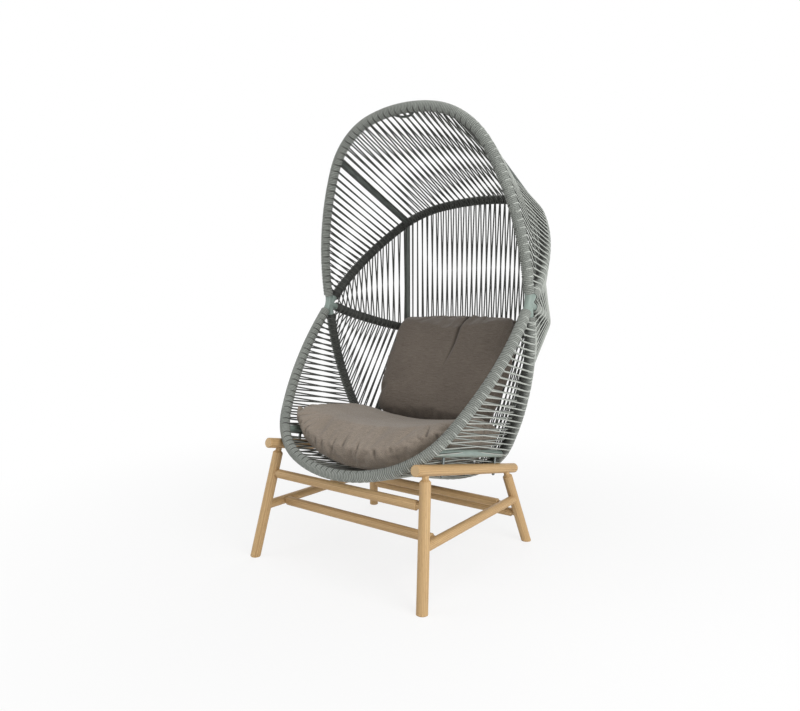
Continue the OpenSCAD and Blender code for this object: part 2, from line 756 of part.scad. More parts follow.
function seat_point(u, v, face) =
    let (across_u = u * sqrt(1 - seat_round_share * v * v),
         along_v = v * sqrt(1 - seat_round_share * u * u),
         front = seat_front_share + seat_corner_share * u * u,
         f = swell(u, 4, 0.6) * swell(v, 6, 0.5),
         t = mix(seat_front_t, seat_rear_t, (v + 1) / 2) * mix(1, seat_side_share, u * u),
         h = face == UNDER ? seat_seam_share * (1 - f) : mix(seat_seam_share, 1, f))
    bed_face(1.5 - seat_reach_share * across_u, front * (1 - along_v) / 2)
        + unit([-seat_inward_share * u, 0, 1]) * t * h;

module seat_cushion()
    color("rosybrown")
        cushion(function(u, v, face) seat_point(u, v, face));

// Back cushion in its own frame: x across, y up along its height, z to the front
back_round_share = 0.22;          // rounding of its outline
back_taper_share = 0.035;         // how much wider its top is than its bottom
back_sag = 26;              // how far its middle sinks into the hollow of the back
back_edge_t = 58;           // its thickness behind the seam near the sides
foot_base = 184.6;          // height of its foot over a seat cushion of no thickness
foot_share = 0.75;          // share of the seat cushion's thickness that lifts its foot

function back_x(u, v) = back_half_w * u * sqrt(1 - back_round_share * v * v) * (1 + back_taper_share * v);
function back_y(u, v) = back_h / 2 * (1 + v * sqrt(1 - back_round_share * u * u));
function back_z(u, v, face) =
    let (f = swell(u, 5, 0.5) * swell(v, 5, 0.5), hollow = 1 - u * u)
    -back_sag * hollow + f * (face == TOP ? back_front_t : -mix(back_edge_t, back_rear_t, hollow));

// Its frame: a point on the middle line of the lumbar panel at the height of its foot, and its axes
panel_top = arch_point(LUMBAR, half_len(LUMBAR));
panel_foot = arch_point(REAR, half_len(REAR));
back_foot_z = foot_base + foot_share * seat_rear_t;
back_foot = mix(panel_foot, panel_top, (back_foot_z - panel_foot[2]) / (panel_top[2] - panel_foot[2]));
back_up = [0, sin(back_lean), cos(back_lean)];
back_front = [0, -cos(back_lean), sin(back_lean)];

// Inner face of the panel between arches a and b, at strand place q and share v of the way
function panel(a, b, q, v) = mix(arch_point(a, place(a, q)), arch_point(b, place(b, q)), v);
function panel_face(a, b, q, v) =
    let (n = unit(cross(panel(a, b, q, v + 0.01) - panel(a, b, q, v - 0.01),
                        panel(a, b, q + 0.01, v) - panel(a, b, q - 0.01, v))))
    panel(a, b, q, v) + n * (layer_off + rope_r + back_gap);

// How far the cushion stands forward of back_foot so that its rear clears point p
function stand_at(p) =
    let (x = p[0], y = (p - back_foot) * back_up,
         v0 = 2 * y / back_h - 1,
         u = x / back_half_w / sqrt(1 - back_round_share * v0 * v0) / (1 + back_taper_share * v0))
    abs(v0) > 0.97 || abs(u) > 0.97 ? 0 :
    let (v = v0 / sqrt(1 - back_round_share * u * u))
    abs(v) > 0.97 ? 0 : (p - back_foot) * back_front - back_z(u, v, UNDER);
back_stand = max([for (q = [0.8 : 0.05 : 1.5]) for (v = [0.02 : 0.07 : 0.98])
    max(stand_at(panel_face(REAR, LUMBAR, q, v)), stand_at(panel_face(LUMBAR, CROWN, q, v / 2)))]);

function back_point(u, v, face) =
    back_foot + [back_x(u, v), 0, 0] + back_up * back_y(u, v)
        + back_front * (back_z(u, v, face) + back_stand);

module back_cushion()
    color("rosybrown")
        cushion(function(u, v, face) back_point(u, v, face));

leg_front(LEFT);  // leg_front_left
leg_front(RIGHT);  // leg_front_right
leg_rear(LEFT);  // leg_rear_left
leg_rear(RIGHT);  // leg_rear_right
side_rail(LEFT);  // side_rail_left
side_rail(RIGHT);  // side_rail_right
side_stretcher(LEFT);  // side_stretcher_left
side_stretcher(RIGHT);  // side_stretcher_right
cross_rail(on_front_leg(LEFT, front_rail_z), on_front_leg(RIGHT, front_rail_z), leg_d);  // front_rail_upper
cross_rail(on_stretcher(LEFT, low_front_y), on_stretcher(RIGHT, low_front_y), cross_d);  // front_rail_lower
cross_rail(on_stretcher(LEFT, low_rear_y), on_stretcher(RIGHT, low_rear_y), cross_d);  // rear_rail_upper
cross_rail(on_rear_leg(LEFT, rear_rail_z), on_rear_leg(RIGHT, rear_rail_z), leg_d);  // rear_rail_lower
shell_studs();
stud_spacers();
stud_washers();
cap_nuts();
arch_tube(HOOD, elbow_start);  // hood_rim_tube
arch_tube(CROWN, stub_len);  // crown_tube
arch_tube(LUMBAR, stub_len);  // lumbar_tube
arch_tube(REAR, hang_len);  // seat_rear_tube
arch_tube(RIM, elbow_start);  // seat_rim_tube
pivot_joint(LEFT);  // pivot_joint_left
pivot_joint(RIGHT);  // pivot_joint_right
stay(HOOD, CROWN, LEFT, stay_d);  // hood_stay_left
stay(HOOD, CROWN, RIGHT, stay_d);  // hood_stay_right
stay(CROWN, LUMBAR, LEFT, stay_d);  // back_stay_left
stay(CROWN, LUMBAR, RIGHT, stay_d);  // back_stay_right
stay(LUMBAR, REAR, LEFT, stay_d);  // lumbar_stay_left
stay(LUMBAR, REAR, RIGHT, stay_d);  // lumbar_stay_right
stay(RIM, REAR, LEFT, tube_d);  // seat_tube_left
stay(RIM, REAR, RIGHT, tube_d);  // seat_tube_right
loop();  // hood_loop
arch_wrap(HOOD, elbow_start + wrap_back, [CROWN]);  // hood_rim_wrap
arch_wrap(CROWN, stub_len + wrap_back, [HOOD, LUMBAR]);  // crown_wrap
arch_wrap(LUMBAR, stub_len + wrap_back, [CROWN, REAR]);  // lumbar_wrap
arch_wrap(REAR, hang_len + wrap_back, [LUMBAR, RIM]);  // seat_rear_wrap
arch_wrap(RIM, elbow_start + wrap_back, [REAR]);  // seat_rim_wrap
strands(CROWN, HOOD, hood_side_n, TURN_1, OUTER);  // hood_strands_outer
strands(CROWN, HOOD, hood_side_n, TURN_1, INNER);  // hood_strands_inner
strands(LUMBAR, CROWN, back_side_n, TURN_2, OUTER);  // back_strands_outer
strands(LUMBAR, CROWN, back_side_n, TURN_2, INNER);  // back_strands_inner
strands(REAR, LUMBAR, lumbar_side_n, TURN_1, OUTER);  // lumbar_strands_outer
strands(REAR, LUMBAR, lumbar_side_n, TURN_1, INNER);  // lumbar_strands_inner
strands(RIM, REAR, seat_side_n, TURN_SEAT, OUTER);  // seat_strands_outer
strands(RIM, REAR, seat_side_n, TURN_SEAT, INNER);  // seat_strands_inner
seat_cushion();
back_cushion();
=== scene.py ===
"""Dresses the hooded lounge chair: wound and strung rope, oiled teak, painted tube and two cushions."""
import math

import bmesh
import bpy
import numpy as np
from mathutils import Matrix, Vector
from mathutils.bvhtree import BVHTree
from mathutils.kdtree import KDTree


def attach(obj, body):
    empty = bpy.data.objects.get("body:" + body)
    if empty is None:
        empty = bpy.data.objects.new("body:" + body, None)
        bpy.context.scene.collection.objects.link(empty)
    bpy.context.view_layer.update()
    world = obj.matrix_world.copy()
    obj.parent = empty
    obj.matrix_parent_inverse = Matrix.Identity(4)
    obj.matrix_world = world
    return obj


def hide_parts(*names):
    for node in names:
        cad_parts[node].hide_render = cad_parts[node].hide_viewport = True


bl_info = {
    "name": "Hooded lounge chair",
    "version": (1, 0, 0),
    "blender": (4, 5, 0),
    "location": "View3D > Sidebar > Lounge chair",
    "description": "Winds, strings, upholsters and finishes a hooded lounge chair",
    "category": "Add Mesh",
}

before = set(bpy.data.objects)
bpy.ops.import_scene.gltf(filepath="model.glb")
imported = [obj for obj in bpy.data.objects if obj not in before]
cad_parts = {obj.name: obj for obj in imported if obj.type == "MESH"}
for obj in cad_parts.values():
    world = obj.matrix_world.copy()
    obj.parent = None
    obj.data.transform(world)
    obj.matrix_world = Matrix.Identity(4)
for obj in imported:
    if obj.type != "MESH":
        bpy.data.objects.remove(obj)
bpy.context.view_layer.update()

CHAIR, SEAT_PAD, BACK_PAD = "chair", "seat_pad", "back_pad"
OUTER, INNER = 1, -1

# The line through the two side pivots: half its length, its y and its z
PIVOT = (0.428, 0.02192, 0.856)

# Distance of the stays from the middle, length of an arch's straight ends and radius of its tube
STAY_X = 0.298
STRAIGHT = 0.050
TUBE_R = 0.0125

# Length from a pivot to the first strand place, and pairs of strands between two stays
FIRST_STRAND = 0.050
MIDDLE_PAIRS = 28

# Middle of the space inside the shell
SHELL_MIDDLE = (0, 0.05, 0.9)

# Axis of a rope's section that points to the neighbouring turns of its winding
NOOK_AXIS = 0


def unit(v):
    return v / np.linalg.norm(v)


# Arches


class Arch:
    """A bent tube in a plane that leans about the pivot line: straight, side, corner and top bend."""

    def __init__(self, name, tilt, side_r, side_a, corner_r, corner_a, start):
        self.name, self.start = name, start
        self.up = np.array([0, math.cos(math.radians(tilt)), math.sin(math.radians(tilt))])
        self.normal = np.array([0, -self.up[2], self.up[1]])
        turns = (0, math.radians(side_a), math.radians(side_a + corner_a))
        side_x = PIVOT[0] - side_r
        corner_x = side_x + (side_r - corner_r) * math.cos(turns[1])
        corner_s = STRAIGHT + (side_r - corner_r) * math.sin(turns[1])
        top_r = (corner_x + corner_r * math.cos(turns[2])) / math.cos(turns[2])
        top_s = corner_s + (corner_r - top_r) * math.sin(turns[2])
        end_side = STRAIGHT + side_r * turns[1]
        end_corner = end_side + corner_r * (turns[2] - turns[1])
        self.half = end_corner + top_r * (math.pi / 2 - turns[2])
        # Each bend: length and angle at its start, radius, and its centre across and along the plane
        self.bends = tuple(zip(
            (STRAIGHT, end_side, end_corner), turns, (side_r, corner_r, top_r),
            (side_x, corner_x, 0), (STRAIGHT, corner_s, top_s)))

    def at(self, t):
        """Point and direction at length t from the right pivot over the top to the left one."""
        side = 1.0
        if t > self.half:
            t, side = 2 * self.half - t, -1.0
        x, s, h = PIVOT[0], t, 0.0
        for start, turned, radius, across, along in self.bends:
            if t >= start:
                h = turned + (t - start) / radius
                x, s = across + radius * math.cos(h), along + radius * math.sin(h)
        point = np.array([side * x, PIVOT[1], PIVOT[2]]) + self.up * s
        way = np.array([-math.sin(h), 0, 0]) + self.up * (side * math.cos(h))
        return point, way

    def length_at(self, x):
        """Length from the right pivot at which the arch stands at distance x from the middle."""
        ends = [bend[1] for bend in self.bends[1:]] + [math.pi / 2]
        for (start, turned, radius, across, _), end in zip(self.bends, ends):
            if x > across + radius * math.cos(end):
                return start + radius * (math.acos((x - across) / radius) - turned)
        return self.half

    def place(self, q):
        """Length for a strand place q: 0 to 1 right side, 1 to 2 between the stays, 2 to 3 left side."""
        stay, whole = self.length_at(STAY_X), 2 * self.half
        if q < 1:
            return FIRST_STRAND + (stay - FIRST_STRAND) * q
        if q < 2:
            return stay + (whole - 2 * stay) * (q - 1)
        return whole - stay + (stay - FIRST_STRAND) * (q - 2)


# Each arch: lean of its plane, radius and angle of its side and corner bends, and start of its winding
HOOD = Arch("hood_rim", 99.5, 0.990, 27, 0.290, 50, 0.0305)
CROWN = Arch("crown", 44, 0.847, 30.4, 0.235, 45.4, 0.036)
LUMBAR = Arch("lumbar", 343.5, 0.483, 38.7, 0.198, 34.9, 0.034)
REAR = Arch("seat_rear", 279.5, 0.977, 27.4, 0.203, 25.4, 0.040)
RIM = Arch("seat_rim", 228.7, 1.179, 22.5, 0.293, 46.3, 0.0305)
ARCHES = (HOOD, CROWN, LUMBAR, REAR, RIM)

# Each panel: its arches, pairs on a side, pairs left out of its middle and place of the first one there
PANELS = {
    "hood": (CROWN, HOOD, 20, 0, 0.5),
    "back": (LUMBAR, CROWN, 14, 1, 1.0),
    "lumbar": (REAR, LUMBAR, 16, 0, 0.5),
    "seat": (RIM, REAR, 22, 1, 1.2),
}


def pair_places(side_n, left_out, first):
    """Places of a panel's strand pairs, from the right pivot to the left one."""
    count = MIDDLE_PAIRS - left_out
    sides = [(i + 0.5) / side_n for i in range(side_n)]
    middle = [1 + (first + (MIDDLE_PAIRS - 2 * first) * i / (count - 1)) / MIDDLE_PAIRS for i in range(count)]
    return sides + middle + [2 + q for q in sides]


# Node trees


class Graph:
    """A node tree that is built step by step."""

    def __init__(self, tree):
        self.tree = tree

    def step(self, kind, links=None, **settings):
        node = self.tree.nodes.new(kind)
        for key, value in settings.items():
            setattr(node, key, value)
        for key, value in (links or {}).items():
            self.feed(node.inputs[key], value)
        return node

    def flow(self, kind, links=None, **settings):
        """A step that is wanted for its first output."""
        return self.step(kind, links, **settings).outputs[0]

    def feed(self, socket, value):
        if isinstance(value, Wire):
            value = value.socket
        if isinstance(value, bpy.types.NodeSocket):
            self.tree.links.new(value, socket)
        else:
            socket.default_value = value

    def seen(self, *rays):
        """1 for rays of the kinds given, and 0 for others."""
        path = self.step("ShaderNodeLightPath").outputs
        share, *others = [Wire(self, path[f"Is {ray} Ray"]) for ray in rays]
        for other in others:
            share = share.high(other)
        return share


def maths(operation):
    """A method that runs one operation of arithmetic."""
    return lambda wire, *others: Wire(wire.graph, wire.graph.flow(
        "ShaderNodeMath", dict(enumerate((wire, *others))), operation=operation))


class Wire:
    """A value inside a node tree that ordinary arithmetic can be written with."""

    def __init__(self, graph, socket):
        self.graph, self.socket = graph, socket

    __add__, __sub__, __mul__ = maths("ADD"), maths("SUBTRACT"), maths("MULTIPLY")
    __truediv__, __pow__ = maths("DIVIDE"), maths("POWER")
    sine, cosine, angle_with = maths("SINE"), maths("COSINE"), maths("ARCTAN2")
    size, whole, high = maths("ABSOLUTE"), maths("FLOOR"), maths("MAXIMUM")

    def ramp(self, start, end, low=0.0, high=1.0):
        """Runs smoothly from low to high while the value runs from start to end."""
        links = {0: self, 1: start, 2: end, 3: low, 4: high}
        return Wire(self.graph, self.graph.flow("ShaderNodeMapRange", links, interpolation_type="SMOOTHSTEP"))


class Tree(Graph):
    """A geometry node tree: named inputs, steps one after another, one output."""

    def __init__(self, name, inputs):
        super().__init__(bpy.data.node_groups.new(name, "GeometryNodeTree"))
        face = self.tree.interface
        face.new_socket("Geometry", in_out="INPUT", socket_type="NodeSocketGeometry")
        for label, kind in inputs:
            face.new_socket(label, in_out="INPUT", socket_type="NodeSocket" + kind)
        face.new_socket("Geometry", in_out="OUTPUT", socket_type="NodeSocketGeometry")
        self.start = self.tree.nodes.new("NodeGroupInput").outputs
        self.end = self.tree.nodes.new("NodeGroupOutput").inputs

    def given(self, label):
        """One of the tree's inputs."""
        return Wire(self, self.start[label])

    def vector(self, operation, links):
        return self.flow("ShaderNodeVectorMath", links, operation=operation)

    def keep(self, geometry, value, kind="FLOAT"):
        """Captures a field on a curve, and returns the geometry and the captured value."""
        node = self.step("GeometryNodeCaptureAttribute")
        node.capture_items.new(kind, "kept")
        self.feed(node.inputs[0], geometry)
        self.feed(node.inputs[1], value)
        return node.outputs[0], node.outputs[1]

    def store(self, geometry, name, value, kind):
        """Stores a field on the points of a mesh."""
        return self.flow("GeometryNodeStoreNamedAttribute", {
            "Geometry": geometry, "Name": name, "Value": value}, data_type=kind, domain="POINT")

    def sweep_rope(self, curve, diameter, facing=None):
        """Sweeps a round rope along a curve and stores its lay, and, if its facing is given, its nooks for
        their painted shade.
        """
        if facing is not None:
            curve = self.flow("GeometryNodeSetCurveNormal", {"Curve": curve, "Normal": facing}, mode="FREE")
        spline = self.step("GeometryNodeSplineParameter").outputs
        curve, along = self.keep(curve, spline["Length"])
        ring = self.flow("GeometryNodeCurvePrimitiveCircle", {
            "Resolution": ROPE_SIDES, "Radius": diameter * 0.5})
        angle = Wire(self, spline["Factor"]) * (2 * math.pi)
        pair = self.flow("ShaderNodeCombineXYZ", {0: angle.cosine(), 1: angle.sine()})
        profile, round_ = self.keep(ring, pair, "VECTOR")
        swept = self.flow("GeometryNodeCurveToMesh", {
            "Curve": curve, "Profile Curve": profile, "Fill Caps": True})
        xyz = self.step("ShaderNodeSeparateXYZ", {0: round_}).outputs
        lay = self.flow("ShaderNodeCombineXYZ", {0: xyz[0], 1: xyz[1], 2: along})
        rope = self.store(swept, "lay", lay, "FLOAT_VECTOR")
        if facing is not None:
            rope = self.store(rope, "nook", Wire(self, xyz[NOOK_AXIS]).size(), "FLOAT")
        return self.flow("GeometryNodeSetShadeSmooth", {"Geometry": rope, "Shade Smooth": True})

    def close(self, geometry, material):
        """Ends the tree with plain geometry in one material."""
        real = self.flow("GeometryNodeRealizeInstances", {0: geometry})
        done = self.flow("GeometryNodeSetMaterial", {"Geometry": real, "Material": material})
        self.feed(self.end[0], done)


def winding_tree():
    """A rope wound in close turns round the curve that it is given."""
    tree = Tree("Rope winding", [
        ("Turns", "Int"), ("Points per turn", "Int"), ("Winding radius", "Float"), ("Rope diameter", "Float"),
        ("Plane normal", "Vector"), ("Unevenness", "Float"), ("Seed", "Int"), ("Rope", "Material")])
    normal, points = tree.start["Plane normal"], tree.given("Points per turn")
    curve = tree.flow("GeometryNodeMeshToCurve", {"Mesh": tree.start["Geometry"]})
    count = tree.given("Turns") * points + 1
    curve = tree.flow("GeometryNodeResampleCurve", {"Curve": curve, "Count": count})
    turns = Wire(tree, tree.flow("GeometryNodeInputIndex")) / points
    random = tree.step("FunctionNodeRandomValue", {
        2: -1.0, 3: 1.0, "ID": turns.whole(), "Seed": tree.start["Seed"]}, data_type="FLOAT")
    radius = tree.given("Winding radius") + Wire(tree, random.outputs[1]) * tree.given("Unevenness")
    angle = turns * (2 * math.pi)
    across = tree.vector("CROSS_PRODUCT", {0: tree.flow("GeometryNodeInputTangent"), 1: normal})
    first = tree.vector("SCALE", {0: normal, "Scale": radius * angle.cosine()})
    second = tree.vector("SCALE", {0: across, "Scale": radius * angle.sine()})
    offset = tree.vector("ADD", {0: first, 1: second})
    curve, outward = tree.keep(curve, tree.vector("NORMALIZE", {0: offset}), "VECTOR")
    wound = tree.flow("GeometryNodeSetPosition", {"Geometry": curve, "Offset": offset})
    tree.close(tree.sweep_rope(wound, tree.given("Rope diameter"), outward), tree.start["Rope"])
    return tree.tree


def stringing_tree():
    """A rope along each line that it is given."""
    tree = Tree("Rope stringing", [("Rope diameter", "Float"), ("Rope", "Material")])
    curve = tree.flow("GeometryNodeMeshToCurve", {"Mesh": tree.start["Geometry"]})
    tree.close(tree.sweep_rope(curve, tree.given("Rope diameter")), tree.start["Rope"])
    return tree.tree


def new_object(name, data):
    """A new object in the scene."""
    obj = bpy.data.objects.new(name, data)
    bpy.context.scene.collection.objects.link(obj)
    return obj


def applied(obj):
    """Applies every modifier of an object."""
    evaluated = obj.evaluated_get(bpy.context.evaluated_depsgraph_get())
    mesh = bpy.data.meshes.new_from_object(evaluated)
    obj.modifiers.clear()
    old, obj.data = obj.data, mesh
    bpy.data.meshes.remove(old)
    mesh.name = obj.name


def lines_object(name, lines):
    """A mesh of edges, one open line for each list of points."""
    points = np.vstack(lines)
    edges, base = [], 0
    for line in lines:
        edges += [(base + i, base + i + 1) for i in range(len(line) - 1)]
        base += len(line)
    mesh = bpy.data.meshes.new(name)
    mesh.from_pydata(points.tolist(), edges, [])
    return new_object(name, mesh)


def grown(obj, group, values):
    """Runs a geometry node tree on an object and leaves a plain mesh in its place."""
    modifier = obj.modifiers.new("Growth", "NODES")
    modifier.node_group = group
    for item in group.interface.items_tree:
        if item.in_out == "INPUT" and item.name in values:
            modifier[item.identifier] = values[item.name]
    applied(obj)


# Materials


class Finish(Graph):
    """One procedural material, put together from patterns."""

    def __init__(self, name):
        self.material = bpy.data.materials.new(name)
        self.material.use_nodes = True
        super().__init__(self.material.node_tree)
        self.surface = self.tree.nodes["Principled BSDF"]

    def set(self, **values):
        """Sets the shader's own sockets; an underscore stands for a space."""
        for key, value in values.items():
            self.feed(self.surface.inputs[key.replace("_", " ")], value)

    def place(self, turn=None):
        """Object coordinates, moved and turned by a matrix."""
        spot = self.step("ShaderNodeTexCoord").outputs["Object"]
        if turn is None:
            return spot
        return self.flow("ShaderNodeMapping", {
            "Vector": spot, "Location": turn.to_translation(), "Rotation": turn.to_euler()})

    def vector(self, operation, first, second=(0, 0, 0)):
        return self.step("ShaderNodeVectorMath", {0: first, 1: second}, operation=operation).outputs

    def scaled(self, spot, scale):
        return self.vector("MULTIPLY", spot, scale)["Vector"]

    def facing(self, way):
        """How far the surface faces a way, from -1 to 1."""
        normal = self.step("ShaderNodeNewGeometry").outputs["Normal"]
        return Wire(self, self.vector("DOT_PRODUCT", normal, way)["Value"])

    def stored(self, name):
        """The outputs of a value that the mesh keeps under a name."""
        return self.step("ShaderNodeAttribute", attribute_name=name).outputs

    def parts(self, vector):
        return [Wire(self, s) for s in self.step("ShaderNodeSeparateXYZ", {0: vector}).outputs]

    def noise(self, spot, scale=1.0, detail=2.0, roughness=0.5):
        return Wire(self, self.flow("ShaderNodeTexNoise", {
            "Vector": spot, "Scale": scale, "Detail": detail, "Roughness": roughness}))

    def mix(self, share, first, second):
        links = {0: share, 6: first, 7: second}
        return self.step("ShaderNodeMix", links, data_type="RGBA").outputs[2]

    def bump(self, height, distance, strength):
        return self.flow("ShaderNodeBump", {"Height": height, "Distance": distance, "Strength": strength})


def linear(red, green, blue):
    """A colour as it is written in sRGB, from 11 to 255, as linear RGBA."""
    return (*(((c / 255 + 0.055) / 1.055) ** 2.4 for c in (red, green, blue)), 1.0)


def rope_finish(name, settings, shell):
    """Round braided rope with a dull coat, with painted shade in its nooks and, in the shell, painted shade
    where it faces the sitter.
    """
    f = Finish(name)
    cosine, sine, along = f.parts(f.stored("lay")["Vector"])
    around = sine.angle_with(cosine) * BRAID_STRANDS
    run = along * (2 * math.pi / settings.braid_pitch)
    braid = (run + around).sine() * (run - around).sine()
    spot = f.place()
    shade = f.noise(spot, scale=14.0, detail=3.0)
    fibre = f.noise(spot, scale=900.0)
    tone = (shade * 0.7 + fibre * 0.3 + braid * 0.08).ramp(0.2, 0.8)
    base = f.mix(tone, settings.dark, settings.light)
    if shell:
        # Painted shade: the shell's rope turns darker where its surface faces the middle of the shell
        away = f.vector("NORMALIZE", f.vector("SUBTRACT", spot, SHELL_MIDDLE)["Vector"])["Vector"]
        inner = f.mix(tone, settings.shaded_inner_dark, settings.shaded_inner_light)
        base = f.mix(f.facing(away).ramp(-0.15, 0.45), inner, base)
    # Painted shade: the rope turns dark where its surface faces the neighbouring turns of its winding
    nook = Wire(f, f.stored("nook")["Fac"]).ramp(0.6, 0.97) * 0.78
    f.set(Base_Color=f.mix(nook, base, settings.nook), Roughness=fibre.ramp(0.2, 0.8, low=0.5, high=0.68),
          Specular_IOR_Level=0.35, Normal=f.bump(braid, distance=0.00035, strength=0.7))
    return f.material


def teak_finish(name, axis, centre, settings, seed):
    """Oiled teak with its grain along one member: growth rings round an axis beside it, pores and streaks."""
    f = Finish(name)
    turn = axis.rotation_difference(Vector((0, 0, 1))).to_matrix().to_4x4()
    heart = Vector((0.05, 0.021 + 0.004 * seed, 0.37 * seed))
    spot = f.place(Matrix.Translation(heart) @ turn @ Matrix.Translation(-centre))
    drift = f.noise(f.scaled(spot, (9, 9, 1.1)))
    x, y, _ = f.parts(spot)
    radius = (x * x + y * y) ** 0.5 + (drift - 0.5) * 0.012
    rings = (radius * (2 * math.pi / settings.ring_gap)).sine() * 0.5 + 0.5
    streak = f.noise(f.scaled(spot, (420, 420, 9)), detail=3.0, roughness=0.6)
    broad = f.noise(f.scaled(spot, (30, 30, 2.2)))
    pores = f.noise(f.scaled(spot, (1500, 1500, 60)), detail=1.0).ramp(0.62, 0.7)
    grain = rings * 0.34 + streak * 0.5 + broad * 0.3 - 0.1
    end = f.facing(axis).size().ramp(0.8, 0.95)
    base = f.mix(grain.ramp(0.15, 0.85), settings.light, settings.dark)
    base = f.mix(pores * 0.45, base, settings.pore)
    base = f.mix(end * (rings * 0.4 + 0.5), base, settings.end)
    height = streak * 0.6 + rings * 0.25 - pores * 0.8
    f.set(Base_Color=base, Roughness=streak.ramp(0.2, 0.8, low=0.46, high=0.62), Specular_IOR_Level=0.4,
          Normal=f.bump(height, distance=0.0003, strength=0.5))
    return f.material


def paint_finish(name, light, dark):
    """Matt powder coat over tube and castings."""
    f = Finish(name)
    spot = f.place()
    grain = f.noise(spot, scale=1600.0)
    cloud = f.noise(spot, scale=22.0)
    f.set(Base_Color=f.mix(cloud.ramp(0.3, 0.7), dark, light),
          Roughness=cloud.ramp(0.3, 0.7, low=0.4, high=0.5),
          Normal=f.bump(grain, distance=0.0001, strength=0.35))
    return f.material


def steel_finish(settings):
    """Satin stainless steel with fine turning marks."""
    f = Finish("Satin steel")
    marks = f.noise(f.scaled(f.place(), (300, 300, 5000)))
    f.set(Base_Color=f.mix(marks, settings.steel_dark, settings.steel_light), Metallic=1.0,
          Roughness=marks.ramp(0.3, 0.7, low=0.26, high=0.38),
          Normal=f.bump(marks, distance=0.00004, strength=0.4))
    return f.material


def cloth_finish(name, turn, light, dark, deep):
    """Plain woven outdoor cloth: threads both ways, slubs along the weft and a soft fuzz, with painted shade
    where seams, puckers and folds press it in.
    """
    f = Finish(name)
    spot = f.place(turn)
    x, y, z = f.parts(spot)
    warp = (x * (2 * math.pi / THREAD_GAP)).sine()
    weft = ((y + z * 0.6) * (2 * math.pi / THREAD_GAP)).sine()
    weave = warp.high(weft)
    slub = f.noise(f.scaled(spot, (35, 1100, 700)), detail=3.0, roughness=0.6)
    fleck = f.noise(f.scaled(spot, (260, 2600, 1700)), detail=1.0)
    cloud = f.noise(spot, scale=7.0)
    tone = slub * 0.55 + fleck * 0.3 + cloud * 0.15 + weave * 0.06
    height = weave * 0.3 + slub * 0.7
    base = f.mix(tone.ramp(0.36, 0.66), dark, light)
    # Painted shade: the cover darkens where a seam, pucker or fold has pressed it in
    crease = Wire(f, f.stored("crease")["Fac"]).ramp(0.0004, 0.005) * 0.55
    f.set(Base_Color=f.mix(crease, base, deep), Roughness=0.92, Specular_IOR_Level=0.2, Sheen_Weight=0.18,
          Sheen_Roughness=0.5, Normal=f.bump(height, distance=0.0004, strength=0.5))
    return f.material


# Settings


def colour(name, description, value):
    return bpy.props.FloatVectorProperty(
        name=name, description=description, subtype="COLOR", size=4, min=0, max=1, default=linear(*value))


def number(name, description, value, **more):
    return bpy.props.FloatProperty(name=name, description=description, default=value, **more)


def length(name, description, value):
    return number(name, description, value, min=0, subtype="DISTANCE", unit="LENGTH", precision=5)


class RopeSettings(bpy.types.PropertyGroup):
    diameter: length("Diameter", "Diameter of the rope", 0.0055)
    pitch: length("Turn pitch", "Distance from turn to turn along a winding", 0.00585)
    lead: length("Lead", "Length over which a strand bends as it leaves its winding", 0.013)
    unevenness: length("Unevenness", "How far a turn may stand proud or low", 0.00012)
    braid_pitch: length("Braid pitch", "Length of one braid repeat", 0.007)
    light: colour("Light", "Rope in its lighter parts", (184, 188, 181))
    dark: colour("Dark", "Rope in its darker parts", (162, 166, 160))
    # Painted shade: darker copies of the rope's colours for where it faces the sitter
    shaded_inner_light: colour("Inner, light", "Rope on the side of the sitter, lighter parts", (88, 89, 85))
    shaded_inner_dark: colour("Inner, dark", "Rope on the side of the sitter, darker parts", (60, 61, 58))
    # Painted shade deep between two turns of a winding
    nook: colour("Nooks", "Rope deep between two turns", (44, 46, 43))


class WoodSettings(bpy.types.PropertyGroup):
    ring_gap: length("Ring gap", "Distance between growth rings", 0.0042)
    light: colour("Light", "Early wood", (200, 168, 121))
    dark: colour("Dark", "Late wood and streaks", (168, 134, 92))
    pore: colour("Pores", "Open pores", (130, 96, 62))
    end: colour("End grain", "Cut ends", (196, 168, 127))


class MetalSettings(bpy.types.PropertyGroup):
    paint_light: colour("Paint, light", "Powder coat in its lighter parts", (134, 148, 141))
    paint_dark: colour("Paint, dark", "Powder coat in its darker parts", (122, 136, 129))
    # Painted shade: a darker copy of the same powder coat for the stays and the hood loop
    shaded_stay_light: colour("Stays, light", "Coat of the stays and the loop, lighter parts", (92, 98, 93))
    shaded_stay_dark: colour("Stays, dark", "Coat of the stays and the loop, darker parts", (78, 83, 79))
    steel_light: colour("Steel, light", "Fixings in their lighter parts", (122, 127, 125))
    steel_dark: colour("Steel, dark", "Fixings in their darker parts", (92, 97, 95))


class CushionSettings(bpy.types.PropertyGroup):
    light: colour("Light", "Cover of the seat cushion, lighter parts", (158, 146, 133))
    dark: colour("Dark", "Cover of the seat cushion, darker parts", (116, 106, 95))
    # Painted shade: a darker copy of the seat cover's colours for the back cushion, which is the same cloth
    shaded_back_light: colour("Back, light", "Cover of the back cushion, lighter parts", (124, 114, 104))
    shaded_back_dark: colour("Back, dark", "Cover of the back cushion, darker parts", (86, 78, 70))
    # Painted shade deep in a seam or a fold
    deep: colour("Deep", "Cover deep in a seam or a fold", (52, 46, 40))
    cell: length("Cell", "Cell of the remeshed cover", 0.0066)
    slack: length("Slack", "How far the empty cover stands inside the full one", 0.006)
    cap: length("Cap", "How far the filling may move the cover", 0.014)
    proud: length("Proud", "How far the cover may stand out of its CAD solid", 0.004)
    pressure: number("Pressure", "Pressure of the filling", 4.0)
    fullness: number("Fullness", "Share by which the cover is cut larger than its form", 0.05)


